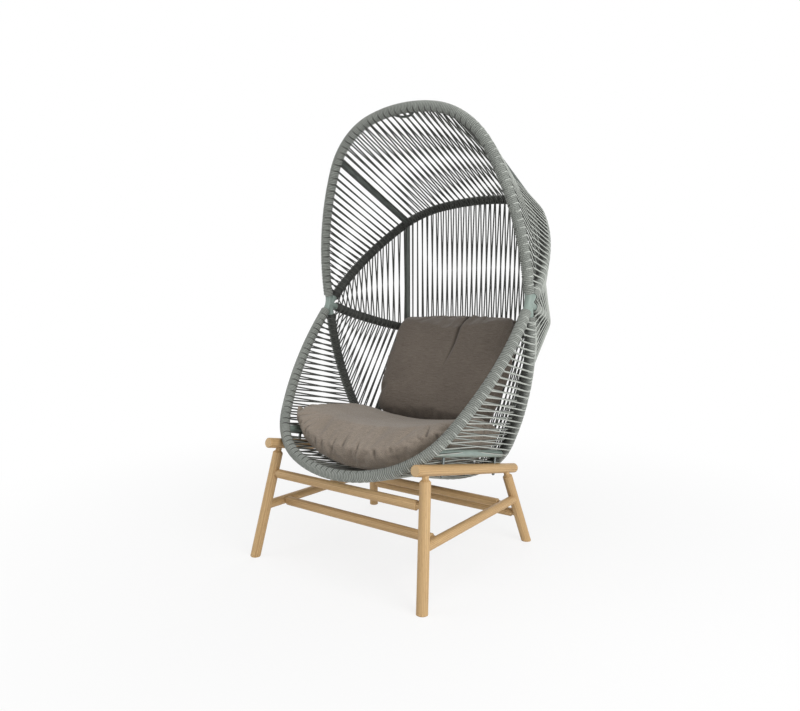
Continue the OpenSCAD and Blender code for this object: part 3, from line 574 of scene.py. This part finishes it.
class StageSettings(bpy.types.PropertyGroup):
    floor: colour("Floor", "Floor and backdrop", (242, 242, 242))
    sky: number("Sky", "Level of the even light from all round", 0.38)
    top: number("Top", "Watts of the high lamp", 16)
    right: number("Right", "Watts of the right lamp", 70)
    left: number("Left", "Watts of the left lamp", 30)
    back: number("Back", "Watts of the lamp behind", 24)
    lens: number("Lens", "Focal length in millimetres", 27.709)
    azimuth: number("Azimuth", "Camera direction round the chair", math.radians(35.67), subtype="ANGLE")
    elevation: number("Elevation", "Camera height angle", math.radians(4.89), subtype="ANGLE")
    camera: bpy.props.FloatVectorProperty(
        name="Camera", description="Place of the camera", subtype="TRANSLATION",
        default=(1.246, -1.82548, 0.8597))


def settings_of(name):
    return getattr(bpy.context.scene, "lounge_chair_" + name)


# Rope

# Sides of a rope, points in one of its turns and points on the arch that the turns follow
ROPE_SIDES = 8
TURN_POINTS = 14
ARCH_POINTS = 500

# Strands that run each way in the rope's braid
BRAID_STRANDS = 4.0

# Length from a winding's end to its first turn, and length that all its turns leave free
FIRST_TURN = 0.003
FREE_LENGTH = 0.004

# The end of a strand on its winding: degrees before it leaves at which it is led, and in diameters
# how high it stands over the turns where it leaves, and how much lower for each degree before
LIE_ANGLES = (75, 55, 38, 22, 9)
LIE_HEIGHT = 0.10
LIE_FALL = 0.0030

# The bend of a strand: its longest lead as a share of its span, and shares of the lead on both sides of it
LEAD_SHARE = 0.3
LEAD_BEFORE = 0.45
LEAD_AFTER = 0.7


class CHAIR_OT_finishes(bpy.types.Operator):
    """Makes the rope's two materials, the shell's one with painted shade where it faces the sitter"""

    bl_idname = "lounge_chair.finishes"
    bl_label = "Rope finish"

    def execute(self, context):
        rope = settings_of("rope")
        rope_finish("Rope", rope, False)
        rope_finish("Rope of the shell", rope, True)
        return {"FINISHED"}


def finish_piece(obj, body, slot, *nodes):
    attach(obj, body)
    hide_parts(*nodes)


class CHAIR_OT_windings(bpy.types.Operator):
    """Winds the rope round the five arches"""

    bl_idname = "lounge_chair.windings"
    bl_label = "Windings"

    def execute(self, context):
        rope, group = settings_of("rope"), winding_tree()
        for seed, arch in enumerate(ARCHES):
            # The crown, lumbar and seat rear windings get the shell's rope with its painted inner shade
            material = bpy.data.materials["Rope" if arch in (HOOD, RIM) else "Rope of the shell"]
            first, last = arch.start + FIRST_TURN, 2 * arch.half - arch.start - FIRST_TURN
            line = [arch.at(t)[0] for t in np.linspace(first, last, ARCH_POINTS)]
            obj = lines_object(arch.name + "_winding", [np.array(line)])
            grown(obj, group, {
                "Turns": round((2 * (arch.half - arch.start) - FREE_LENGTH) / rope.pitch),
                "Points per turn": TURN_POINTS, "Winding radius": TUBE_R + rope.diameter / 2,
                "Rope diameter": rope.diameter, "Plane normal": tuple(arch.normal),
                "Unevenness": rope.unevenness, "Seed": seed, "Rope": material})
            finish_piece(obj, CHAIR, "rope", arch.name + "_wrap")
        return {"FINISHED"}


def strand_end(arch, place, towards, layer, rope):
    """Lies a strand's end on its winding: points round the tube, where it leaves, and its way from there."""
    radius = TUBE_R + rope.diameter / 2
    centre, along = arch.at(arch.place(place))
    out = unit(np.cross(along, towards - centre)) * layer
    n, b = arch.normal, np.cross(along, arch.normal)
    leave = math.atan2(out @ b, out @ n)
    round_way = -n * math.sin(leave) + b * math.cos(leave)
    flat = towards - centre
    flat = unit(flat - along * (flat @ along))
    sense = 1 if round_way @ flat > 0 else -1
    points = []
    for back in LIE_ANGLES:
        angle = leave - sense * math.radians(back)
        lift = rope.diameter * (LIE_HEIGHT - LIE_FALL * back)
        drift = along * (-sense * math.radians(back) * rope.pitch / (2 * math.pi))
        points.append(centre + drift + (n * math.cos(angle) + b * math.sin(angle)) * (radius + lift))
    return points, centre + out * (radius + rope.diameter * LIE_HEIGHT), flat


def strand_line(panel, place, layer, rope):
    """Centreline of one strand, from round one winding to round the other."""
    a, b = PANELS[panel][:2]
    spots = [arch.at(arch.place(place))[0] for arch in (b, a)]
    ends = [strand_end(arch, place, spot, layer, rope) for arch, spot in zip((a, b), spots)]
    (points_a, exit_a, _), (points_b, exit_b, _) = ends
    lead = min(rope.lead, LEAD_SHARE * np.linalg.norm(exit_b - exit_a))
    free_a, free_b = (leave + flat * lead * LEAD_BEFORE for _, leave, flat in ends)
    run = unit(free_b - free_a)
    bends = []
    for start, way, free in ((exit_a, run, free_a), (exit_b, -run, free_b)):
        stop = free + way * lead * LEAD_AFTER
        bends.append([(1 - u) ** 2 * start + 2 * u * (1 - u) * free + u * u * stop
                      for u in (0.0, 0.25, 0.5, 0.75, 1.0)])
    middle = [bends[0][-1] * (1 - u) + bends[1][-1] * u for u in (0.33, 0.67)]
    return np.array(points_a + bends[0] + middle + bends[1][::-1] + points_b[::-1])


class CHAIR_OT_strands(bpy.types.Operator):
    """Strings the rope between the arches, in two layers on each panel"""

    bl_idname = "lounge_chair.strands"
    bl_label = "Strands"

    def execute(self, context):
        rope, group = settings_of("rope"), stringing_tree()
        for name, (_, _, side_n, left_out, first) in PANELS.items():
            for label, layer in (("outer", OUTER), ("inner", INNER)):
                lines = [strand_line(name, q, layer, rope) for q in pair_places(side_n, left_out, first)]
                obj = lines_object(f"{name}_strings_{label}", lines)
                grown(obj, group, {
                    "Rope diameter": rope.diameter, "Rope": bpy.data.materials["Rope of the shell"]})
                finish_piece(obj, CHAIR, "rope", f"{name}_strands_{label}")
        return {"FINISHED"}


# Wood and metal


WOOD = ("leg_", "side_rail", "side_stretcher", "front_rail", "rear_rail")
FIXINGS = ("shell_studs", "stud_spacers", "stud_washers", "cap_nuts")


def coords(mesh, key="co"):
    """One vector for every vertex of a mesh: its place, or its normal."""
    got = np.empty(len(mesh.vertices) * 3)
    mesh.vertices.foreach_get(key, got)
    return got.reshape(-1, 3)


def long_axis(node):
    """Middle and long direction of a node's mesh."""
    points = coords(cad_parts[node].data)
    middle = (points.min(axis=0) + points.max(axis=0)) / 2
    axis = np.linalg.svd(points - points.mean(axis=0), full_matrices=False)[2][0]
    return Vector(middle), Vector(axis)


def dress(node, material):
    """Puts one material on every slot of a node."""
    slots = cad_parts[node].material_slots
    if not slots:
        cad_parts[node].data.materials.append(material)
    for slot in slots:
        slot.material = material


class CHAIR_OT_wood(bpy.types.Operator):
    """Gives every wood member its own grain"""

    bl_idname = "lounge_chair.wood"
    bl_label = "Wood"

    def execute(self, context):
        wood = [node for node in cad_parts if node.startswith(WOOD)]
        for seed, node in enumerate(sorted(wood)):
            centre, axis = long_axis(node)
            dress(node, teak_finish("Teak " + node, axis, centre, settings_of("wood"), seed))
        return {"FINISHED"}


class CHAIR_OT_metal(bpy.types.Operator):
    """Paints the tubes and finishes the fixings"""

    bl_idname = "lounge_chair.metal"
    bl_label = "Metal"

    def execute(self, context):
        metal = settings_of("metal")
        paint = paint_finish("Powder coat", metal.paint_light, metal.paint_dark)
        # Painted shade: the stays and the hood loop get a darker copy of the same powder coat
        stays = paint_finish("Powder coat, stays", metal.shaded_stay_light, metal.shaded_stay_dark)
        steel = steel_finish(metal)
        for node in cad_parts:
            if node in FIXINGS:
                dress(node, steel)
            elif "_stay_" in node or node == "hood_loop":
                dress(node, stays)
            elif node.endswith("_tube") or "tube_" in node or "pivot" in node:
                dress(node, paint)
        return {"FINISHED"}


# Cushions


# Distance between the threads of the covers
THREAD_GAP = 0.0011

# Points on each side of a cushion's seam, and the steps that the seam is then cut into
SEAM_POINTS = 90
SEAM_STEP = 0.002

# The seat cushion's solid in shares of the strung seat: reach up the sides and to the front, how much
# nearer to the rim its front corners lie, rounding of its outline and place of its seam
SEAT_REACH = 0.675
SEAT_FRONT = 0.918
SEAT_CORNER = 0.04
SEAT_ROUND = 0.06
SEAT_EDGE = 0.985

# Its height over the strands' middle, its thickness in the middle, what that gains to the rear and the
# share that it loses to the sides, the seam's height as a share of it, and the lean of its sides
SEAT_BED = 0.018
SEAT_THICK = 0.164
SEAT_WEDGE = 0.036
SEAT_THINNING = 0.62
SEAT_SEAM = 0.34
SEAT_INWARD = 0.3

# Lean of the back cushion from upright, and its axes: up along its height and out of its front
BACK_LEAN = math.radians(29)
BACK_UP = np.array([0, math.sin(BACK_LEAN), math.cos(BACK_LEAN)])
BACK_FRONT = np.array([0, -math.cos(BACK_LEAN), math.sin(BACK_LEAN)])

# The back cushion's solid: half its width and height, rounding of its outline, how much wider its top is,
# thickness in front of its seam, and how far its middle sinks into the hollow of the back
BACK_HALF_W = 0.282
BACK_HALF_H = 0.243
BACK_ROUND = 0.22
BACK_TAPER = 0.035
BACK_THICK = 0.072
BACK_SAG = 0.026

# Height in the back cushion's own frame at which its seam passes underneath
SEAM_FOOT = 0.06

# Folds in the front of the back cushion: points across and up, depth and width
BACK_FOLDS = (
    (((0.036, 0.478), (0.040, 0.455), (0.0438, 0.405), (0.0444, 0.364), (0.0431, 0.325),
      (0.0368, 0.287), (0.0282, 0.248), (0.0176, 0.210)), 0.012, 0.0065),
    (((0.246, 0.455), (0.2588, 0.420), (0.2558, 0.395), (0.2450, 0.368)), 0.010, 0.006),
    (((0.262, 0.335), (0.250, 0.300), (0.228, 0.262)), 0.005, 0.008),
)

# Filling: distance from the seam within which a cover is held, width over which it is let go, and steps
SEAM_HOLD = 0.010
SEAM_RELEASE = 0.006
CLOTH_STEPS = 20

# Depth inside its solid below which a cover is left alone, and air between a cover and the next piece
DEEP = 0.003
AIR = 0.0025

# The seam: depth and width of its groove, and height, distance and width of the welt beside it
GROOVE = 0.0036
WELT = 0.0008
WELT_AWAY = 0.008
WELT_WIDTH = 0.004

# Puckers: spacing along the seam and distance in which they deepen, then the ranges of one pucker's shift
# in spacings, share of the full depth, width, reach from the seam and slant
PUCKER_SPACING = 0.030
PUCKER_START = 0.008
SHIFTS = (-0.35, 0.35)
DEPTHS = (0.25, 1.0)
WIDTHS = (0.0040, 0.0085)
REACHES = (0.026, 0.065)
SLANTS = (-0.45, 0.45)

# Ridges beside a pucker or a fold: height in depths of the hollow, then distance and width in its widths,
# and the share of its height that a fold's lower ridge has
RIDGE = 0.45
PUCKER_RIDGE = 2.1
FOLD_RIDGE = 2.6
FOLD_RIDGE_WIDTH = 1.9
LOWER_RIDGE = 0.35

# Low rises and hollows of the filling: their number, range of lengths and height
WAVES = 14
WAVE_LENGTHS = (0.07, 0.19)
WAVE_HEIGHT = 0.0009

# Pieces that a cover keeps clear of
SEAT_NEIGHBOURS = (
    "seat_strands_inner", "seat_rim_wrap", "seat_rear_wrap", "lumbar_strands_inner",
    "lumbar_wrap", "back_cushion", "seat_tube_left", "seat_tube_right")
BACK_NEIGHBOURS = (
    "back_strands_inner", "lumbar_strands_inner", "lumbar_wrap", "crown_wrap",
    "seat_rear_wrap", "seat_cushion", "back_stay_left", "back_stay_right")


def surface(obj):
    """Places and normals of an object's vertices."""
    return coords(obj.data), coords(obj.data, "normal")


def swell(u, squareness, bulge):
    return max(0.0, 1 - abs(u) ** squareness) ** bulge


def outline(edge, rounding):
    """Places all round a cushion at u or v = edge, each with its place across and along the rounded form."""
    run = [edge * (2 * k / SEAM_POINTS - 1) for k in range(SEAM_POINTS)]
    sides = ([(u, -edge) for u in run] + [(edge, v) for v in run]
             + [(-u, edge) for u in run] + [(-edge, -v) for v in run])
    return [(u, v, u * math.sqrt(1 - rounding * v * v), v * math.sqrt(1 - rounding * u * u))
            for u, v in sides]


def seat_bed(q, v):
    """Middle of the strung seat at strand place q, from its rear arch (v = 0) to its rim (v = 1)."""
    return REAR.at(REAR.place(q))[0] * (1 - v) + RIM.at(RIM.place(q))[0] * v


def seat_seam():
    """The seam round the seat cushion, on the widest line of its front and sides."""
    line, d = [], 0.01
    for u, v, across, along in outline(SEAT_EDGE, SEAT_ROUND):
        q = 1.5 - SEAT_REACH * across
        w = (SEAT_FRONT + SEAT_CORNER * u * u) * (1 - along) / 2
        normal = unit(np.cross(seat_bed(q + d, w) - seat_bed(q - d, w),
                               seat_bed(q, w + d) - seat_bed(q, w - d)))
        thick = (SEAT_THICK + SEAT_WEDGE * v) * (1 - SEAT_THINNING * u * u)
        share = SEAT_SEAM + (1 - SEAT_SEAM) * swell(u, 4, 0.6) * swell(v, 6, 0.5)
        lean = unit(np.array([-SEAT_INWARD * u, 0, 1]))
        line.append(seat_bed(q, w) + normal * SEAT_BED + lean * thick * share)
    return np.array(line)


def back_seam(corner):
    """The seam round the back cushion; corner is the middle of its foot."""
    line = []
    for u, v, across, along in outline(1.0, BACK_ROUND):
        x = BACK_HALF_W * across * (1 + BACK_TAPER * v)
        up = BACK_HALF_H * (1 + along)
        line.append(corner + np.array([x, 0, 0]) + BACK_UP * up - BACK_FRONT * BACK_SAG * (1 - u * u))
    return np.array(line)


def back_corner(points):
    """Middle of the back cushion's foot, from the reach of its form."""
    crown = max(BACK_THICK * swell(k / 100, 5, 0.5) - BACK_SAG * (1 - k * k / 1e4) for k in range(100))
    return BACK_UP * (points @ BACK_UP).min() + BACK_FRONT * ((points @ BACK_FRONT).max() - crown)


def copy_of(node, name):
    """A merged copy of a node's mesh as a new object."""
    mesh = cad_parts[node].data.copy()
    mesh.name = name
    bm = bmesh.new()
    bm.from_mesh(mesh)
    bmesh.ops.remove_doubles(bm, verts=bm.verts, dist=1e-5)
    bmesh.ops.recalc_face_normals(bm, faces=bm.faces)
    bm.to_mesh(mesh)
    bm.free()
    mesh.materials.clear()
    return new_object(name, mesh)


def modified(obj, kind, **settings):
    """Runs one modifier on an object and applies it."""
    modifier = obj.modifiers.new("Step", kind)
    for key, value in settings.items():
        setattr(modifier, key, value)
    applied(obj)


def placed(mesh, points):
    mesh.vertices.foreach_set("co", np.ascontiguousarray(points).ravel())
    mesh.update()


def surface_of(*nodes):
    """A search tree over the surfaces of CAD nodes."""
    points, faces = [], []
    for node in nodes:
        mesh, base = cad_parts[node].data, len(points)
        points += [v.co.copy() for v in mesh.vertices]
        faces += [tuple(base + k for k in face.vertices) for face in mesh.polygons]
    return BVHTree.FromPolygons(points, faces)


def nearest_on(line, points):
    """For every point: its distance to a closed line, and length along it and number of the nearest place."""
    tree = KDTree(len(line))
    for k, spot in enumerate(line):
        tree.insert(spot, k)
    tree.balance()
    steps = np.linalg.norm(np.roll(line, -1, axis=0) - line, axis=1)
    lengths = np.concatenate([[0], np.cumsum(steps)])
    found = [tree.find(p) for p in points]
    index = np.array([f[1] for f in found])
    return np.array([f[2] for f in found]), lengths[index], index, lengths[-1]


def fine(line):
    """The same closed line with evenly small steps."""
    ends = np.roll(line, -1, axis=0)
    out = []
    for start, end in zip(line, ends):
        count = max(1, int(np.linalg.norm(end - start) / SEAM_STEP))
        out += [start + (end - start) * k / count for k in range(count)]
    return np.array(out)


def filled(obj, seam, pads):
    """Blows the cover up as cloth under pressure, with its seam held, by no more than the cap."""
    start = coords(obj.data)
    away = nearest_on(seam, start)[0]
    held = obj.vertex_groups.new(name="Seam")
    for index in np.nonzero(away < SEAM_HOLD)[0]:
        share = float(np.clip((SEAM_HOLD - away[index]) / SEAM_RELEASE, 0, 1))
        held.add([int(index)], share, "REPLACE")
    cloth = obj.modifiers.new("Filling", "CLOTH")
    put = cloth.settings
    put.quality, put.mass = 5, 0.2
    put.tension_stiffness = put.compression_stiffness = 18
    put.shear_stiffness, put.bending_stiffness = 8, 0.25
    put.use_pressure, put.uniform_pressure_force = True, pads.pressure
    put.shrink_min = put.shrink_max = -pads.fullness
    put.effector_weights.gravity = 0
    put.vertex_group_mass = held.name
    cloth.collision_settings.use_collision = False
    cloth.collision_settings.use_self_collision = False
    cloth.point_cache.frame_start, cloth.point_cache.frame_end = 1, CLOTH_STEPS
    scene = bpy.context.scene
    for step in range(1, CLOTH_STEPS + 1):
        scene.frame_set(step)
    applied(obj)
    scene.frame_set(1)
    obj.vertex_groups.clear()
    moved = coords(obj.data) - start
    far = np.linalg.norm(moved, axis=1)
    moved *= np.minimum(1, pads.cap / np.maximum(far, 1e-9))[:, None]
    placed(obj.data, start + moved)


def settled(obj, own, others, proud):
    """Keeps a cover near the surface of its CAD solid, and gradually lower where another piece is close."""
    points = coords(obj.data)
    for index, point in enumerate(points):
        spot, normal, _, _ = own.find_nearest(point)
        rise = (Vector(point) - spot) @ normal
        if rise > -DEEP:
            room = others.find_nearest(spot)[3] - AIR
            limit = proud * (1 - math.exp(-room / proud)) if room > 0 else room
            if rise > limit:
                points[index] = spot + normal * limit
    placed(obj.data, points)


def creased(obj, facing, drop):
    """Moves a cover's surface by drop, and keeps the depth as an attribute for its shade."""
    mesh = obj.data
    kept = mesh.attributes.get("crease") or mesh.attributes.new("crease", "FLOAT", "POINT")
    before = np.empty(len(mesh.vertices))
    kept.data.foreach_get("value", before)
    kept.data.foreach_set("value", before - drop)
    placed(mesh, coords(mesh) + facing * drop[:, None])


def bell(away, width):
    """Falls from 1 at no distance smoothly towards 0."""
    return np.exp(-(away / width) ** 2)


def puckered(obj, seam, rng, depth):
    """Sews the seam: a narrow groove, and short folds that run from it to both sides."""
    points, facing = surface(obj)
    away, along, index, whole = nearest_on(seam, points)
    drop = WELT * bell(away - WELT_AWAY, WELT_WIDTH) - GROOVE * bell(away, GROOVE)
    run = np.roll(seam, -2, axis=0) - np.roll(seam, 2, axis=0)
    side = np.sign((np.cross(run[index], facing) * (points - seam[index])).sum(axis=1))
    count = int(whole / PUCKER_SPACING)
    for k in range(count):
        centre = whole * (k + rng.uniform(*SHIFTS)) / count
        deep, wide = depth * rng.uniform(*DEPTHS), rng.uniform(*WIDTHS)
        reach, slant = rng.uniform(*REACHES), rng.uniform(*SLANTS)
        # One side of the seam, the other, which is drawn more often, or both
        flank = rng.choice([-1, 1, 1, 0])
        off = (along - centre - slant * away + whole / 2) % whole - whole / 2
        fold = RIDGE * bell(np.abs(off) - PUCKER_RIDGE * wide, wide) - bell(off, wide)
        fade = np.clip(away / PUCKER_START, 0, 1) * bell(away, reach)
        drop += np.where((side == flank) | (flank == 0), deep * fold * fade, 0)
    creased(obj, facing, drop)


def folded(obj, corner, folds):
    """Presses folds into the front of the back cushion, deepest at their upper ends."""
    points, facing = surface(obj)
    up = (points - corner) @ BACK_UP
    front = np.clip((facing @ BACK_FRONT - 0.05) / 0.3, 0, 1)
    drop = np.zeros(len(points))
    for line, depth, wide in folds:
        line = np.array(line)
        best, share, side = np.full(len(points), 9.0), np.zeros(len(points)), np.ones(len(points))
        for k in range(len(line) - 1):
            a, d = line[k], line[k + 1] - line[k]
            rel = np.stack([points[:, 0] - a[0], up - a[1]], axis=1)
            f = np.clip(rel @ d / (d @ d), 0, 1)
            off = rel - f[:, None] * d
            gap = np.hypot(*off.T)
            closer = gap < best
            best[closer], share[closer] = gap[closer], ((k + f) / (len(line) - 1))[closer]
            side[closer] = np.sign(d[0] * off[:, 1] - d[1] * off[:, 0])[closer]
        fade = (1 - share) ** 0.8
        ridge = RIDGE * np.where(side > 0, 1.0, LOWER_RIDGE)
        ridge = ridge * bell(best - FOLD_RIDGE * wide, FOLD_RIDGE_WIDTH * wide)
        drop += fade * depth * (ridge - bell(best, wide))
    creased(obj, facing, drop * front)


def lumpy(obj, rng):
    """Adds the low rises and hollows of a soft filling."""
    points, facing = surface(obj)
    rise = np.zeros(len(points))
    for _ in range(WAVES):
        way = unit(rng.normal(size=3)) * 2 * math.pi / rng.uniform(*WAVE_LENGTHS)
        rise += np.sin(points @ way + rng.uniform(0, 2 * math.pi)) / math.sqrt(WAVES)
    placed(obj.data, points + facing * (rise * WAVE_HEIGHT)[:, None])


class CHAIR_OT_cushions(bpy.types.Operator):
    """Makes the two cushions: cloth under pressure, sewn seams, folds and a woven cover"""

    bl_idname = "lounge_chair.cushions"
    bl_label = "Cushions"

    def execute(self, context):
        pads = settings_of("cushions")
        seam = fine(seat_seam())
        seat = self.cushion("seat_cushion", pads, seam, SEAT_NEIGHBOURS, seed=3, pucker=0.0056)
        corner = back_corner(coords(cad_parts["back_cushion"].data))
        seam = fine(back_seam(corner))
        seam = seam[(seam - corner) @ BACK_UP > SEAM_FOOT]
        back = self.cushion("back_cushion", pads, seam, BACK_NEIGHBOURS, seed=8, pucker=0.0030)
        folded(back, corner, BACK_FOLDS)
        level = Matrix.Identity(4)
        lean = Matrix.Rotation(BACK_LEAN - math.pi / 2, 4, "X")
        # The back cushion's cover takes the darker, painted-shade copy of the cloth's colours
        for obj, turn, body, node, light, dark in (
                (seat, level, SEAT_PAD, "seat_cushion", pads.light, pads.dark),
                (back, lean, BACK_PAD, "back_cushion", pads.shaded_back_light, pads.shaded_back_dark)):
            obj.data.materials.append(cloth_finish("Cover " + node, turn, light, dark, pads.deep))
            obj.data.shade_smooth()
            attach(obj, body)
            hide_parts(node)
        return {"FINISHED"}

    def cushion(self, node, pads, seam, others, seed, pucker):
        """Makes one cover from its CAD solid; pucker is the depth of the folds at its seam."""
        obj = copy_of(node, node + "_cover")
        own, near = surface_of(node), surface_of(*others)
        points, facing = surface(obj)
        placed(obj.data, points - facing * pads.slack)
        modified(obj, "REMESH", mode="VOXEL", voxel_size=pads.cell)
        modified(obj, "SMOOTH", factor=0.5, iterations=14)
        filled(obj, seam, pads)
        settled(obj, own, near, pads.proud)
        modified(obj, "SMOOTH", factor=0.5, iterations=3)
        modified(obj, "SUBSURF", levels=1, render_levels=1)
        lumpy(obj, np.random.default_rng(seed))
        puckered(obj, seam, np.random.default_rng(seed), pucker)
        return obj


# Stage


# Each lamp: place, target and size
LAMPS = {
    "Top": ((0.6, -0.5, 3.6), (0, 0, 0.7), 1.2),
    "Right": ((2.9, -0.9, 1.5), (0, 0, 0.8), 2.2),
    "Left": ((-2.0, -2.4, 1.5), (0, 0, 0.8), 2.2),
    "Back": ((-1.2, 3.0, 1.9), (0, 0, 0.8), 2.0),
}

# Radius of the floor, and the distances from the chair between which its own light fades in
FLOOR_RADIUS = 40
FLOOR_NEAR = 0.5
FLOOR_FAR = 2.2


class CHAIR_OT_stage(bpy.types.Operator):
    """Sets up the floor, the lamps, the sky and the camera"""

    bl_idname = "lounge_chair.stage"
    bl_label = "Stage"

    def execute(self, context):
        stage, scene = settings_of("stage"), context.scene
        scene.view_settings.view_transform = "Standard"
        self.floor(stage)
        self.sky(stage)
        for name, (place, target, size) in LAMPS.items():
            data = bpy.data.lights.new(name, "AREA")
            data.energy, data.size = getattr(stage, name.lower()), size
            lamp = new_object(name, data)
            lamp.location = place
            lamp.rotation_euler = (Vector(target) - Vector(place)).to_track_quat("-Z", "Y").to_euler()
        data = bpy.data.cameras.new("Camera")
        data.sensor_width, data.lens, data.clip_start = 36, stage.lens, 0.05
        camera = new_object("Camera", data)
        az, el = stage.azimuth, stage.elevation
        back = Vector((math.sin(az) * math.cos(el), -math.cos(az) * math.cos(el), math.sin(el)))
        right = Vector((math.cos(az), math.sin(az), 0))
        turn = Matrix((right, back.cross(right), back)).transposed().to_4x4()
        camera.matrix_world = Matrix.Translation(stage.camera) @ turn
        scene.camera = camera
        return {"FINISHED"}

    def floor(self, stage):
        mesh = bpy.data.meshes.new("Floor")
        bm = bmesh.new()
        bmesh.ops.create_circle(bm, cap_ends=True, radius=FLOOR_RADIUS, segments=64)
        bm.to_mesh(mesh)
        bm.free()
        obj = new_object("Floor", mesh)
        f = Finish("Pale floor")
        f.set(Base_Color=tuple(stage.floor), Roughness=0.8, Specular_IOR_Level=0.1)
        glow = f.flow("ShaderNodeEmission", {"Color": (1, 1, 1, 1), "Strength": 1.0})
        out = next(n for n in f.tree.nodes if n.type == "OUTPUT_MATERIAL")
        x, y, _ = f.parts(f.place())
        far = ((x * x + y * y) ** 0.5).ramp(FLOOR_NEAR, FLOOR_FAR, low=0.8)
        share = f.seen("Camera", "Glossy") * far
        both = f.flow("ShaderNodeMixShader", {0: share, 1: f.surface.outputs[0], 2: glow})
        f.feed(out.inputs["Surface"], both)
        mesh.materials.append(f.material)

    def sky(self, stage):
        world = bpy.data.worlds.new("Studio")
        world.use_nodes = True
        bpy.context.scene.world = world
        f = Graph(world.node_tree)
        light = f.tree.nodes["Background"]
        f.feed(light.inputs["Color"], (1, 1, 1, 1))
        seen = f.seen("Camera", "Glossy", "Transmission")
        f.feed(light.inputs["Strength"], seen * (1.0 - stage.sky) + stage.sky)


class CHAIR_PT_panel(bpy.types.Panel):
    """Shows the chair's settings and the buttons for its steps"""

    bl_label = "Lounge chair"
    bl_idname = "CHAIR_PT_panel"
    bl_space_type = "VIEW_3D"
    bl_region_type = "UI"
    bl_category = "Lounge chair"

    def draw(self, context):
        for name, _ in SETTINGS:
            box = self.layout.box()
            group = settings_of(name)
            for key in type(group).__annotations__:
                box.prop(group, key)
        for operator in OPERATORS:
            self.layout.operator(operator.bl_idname)


SETTINGS = (
    ("rope", RopeSettings), ("wood", WoodSettings), ("metal", MetalSettings),
    ("cushions", CushionSettings), ("stage", StageSettings),
)
OPERATORS = (
    CHAIR_OT_finishes, CHAIR_OT_windings, CHAIR_OT_strands, CHAIR_OT_wood, CHAIR_OT_metal,
    CHAIR_OT_cushions, CHAIR_OT_stage,
)


def register():
    for name, group in SETTINGS:
        bpy.utils.register_class(group)
        setattr(bpy.types.Scene, "lounge_chair_" + name, bpy.props.PointerProperty(type=group))
    for operator in OPERATORS:
        bpy.utils.register_class(operator)
    bpy.utils.register_class(CHAIR_PT_panel)


def unregister():
    bpy.utils.unregister_class(CHAIR_PT_panel)
    for operator in reversed(OPERATORS):
        bpy.utils.unregister_class(operator)
    for name, group in reversed(SETTINGS):
        delattr(bpy.types.Scene, "lounge_chair_" + name)
        bpy.utils.unregister_class(group)


def main():
    register()
    for operator in OPERATORS:
        family, name = operator.bl_idname.split(".")
        getattr(getattr(bpy.ops, family), name)()


if __name__ == "__main__":
    main()
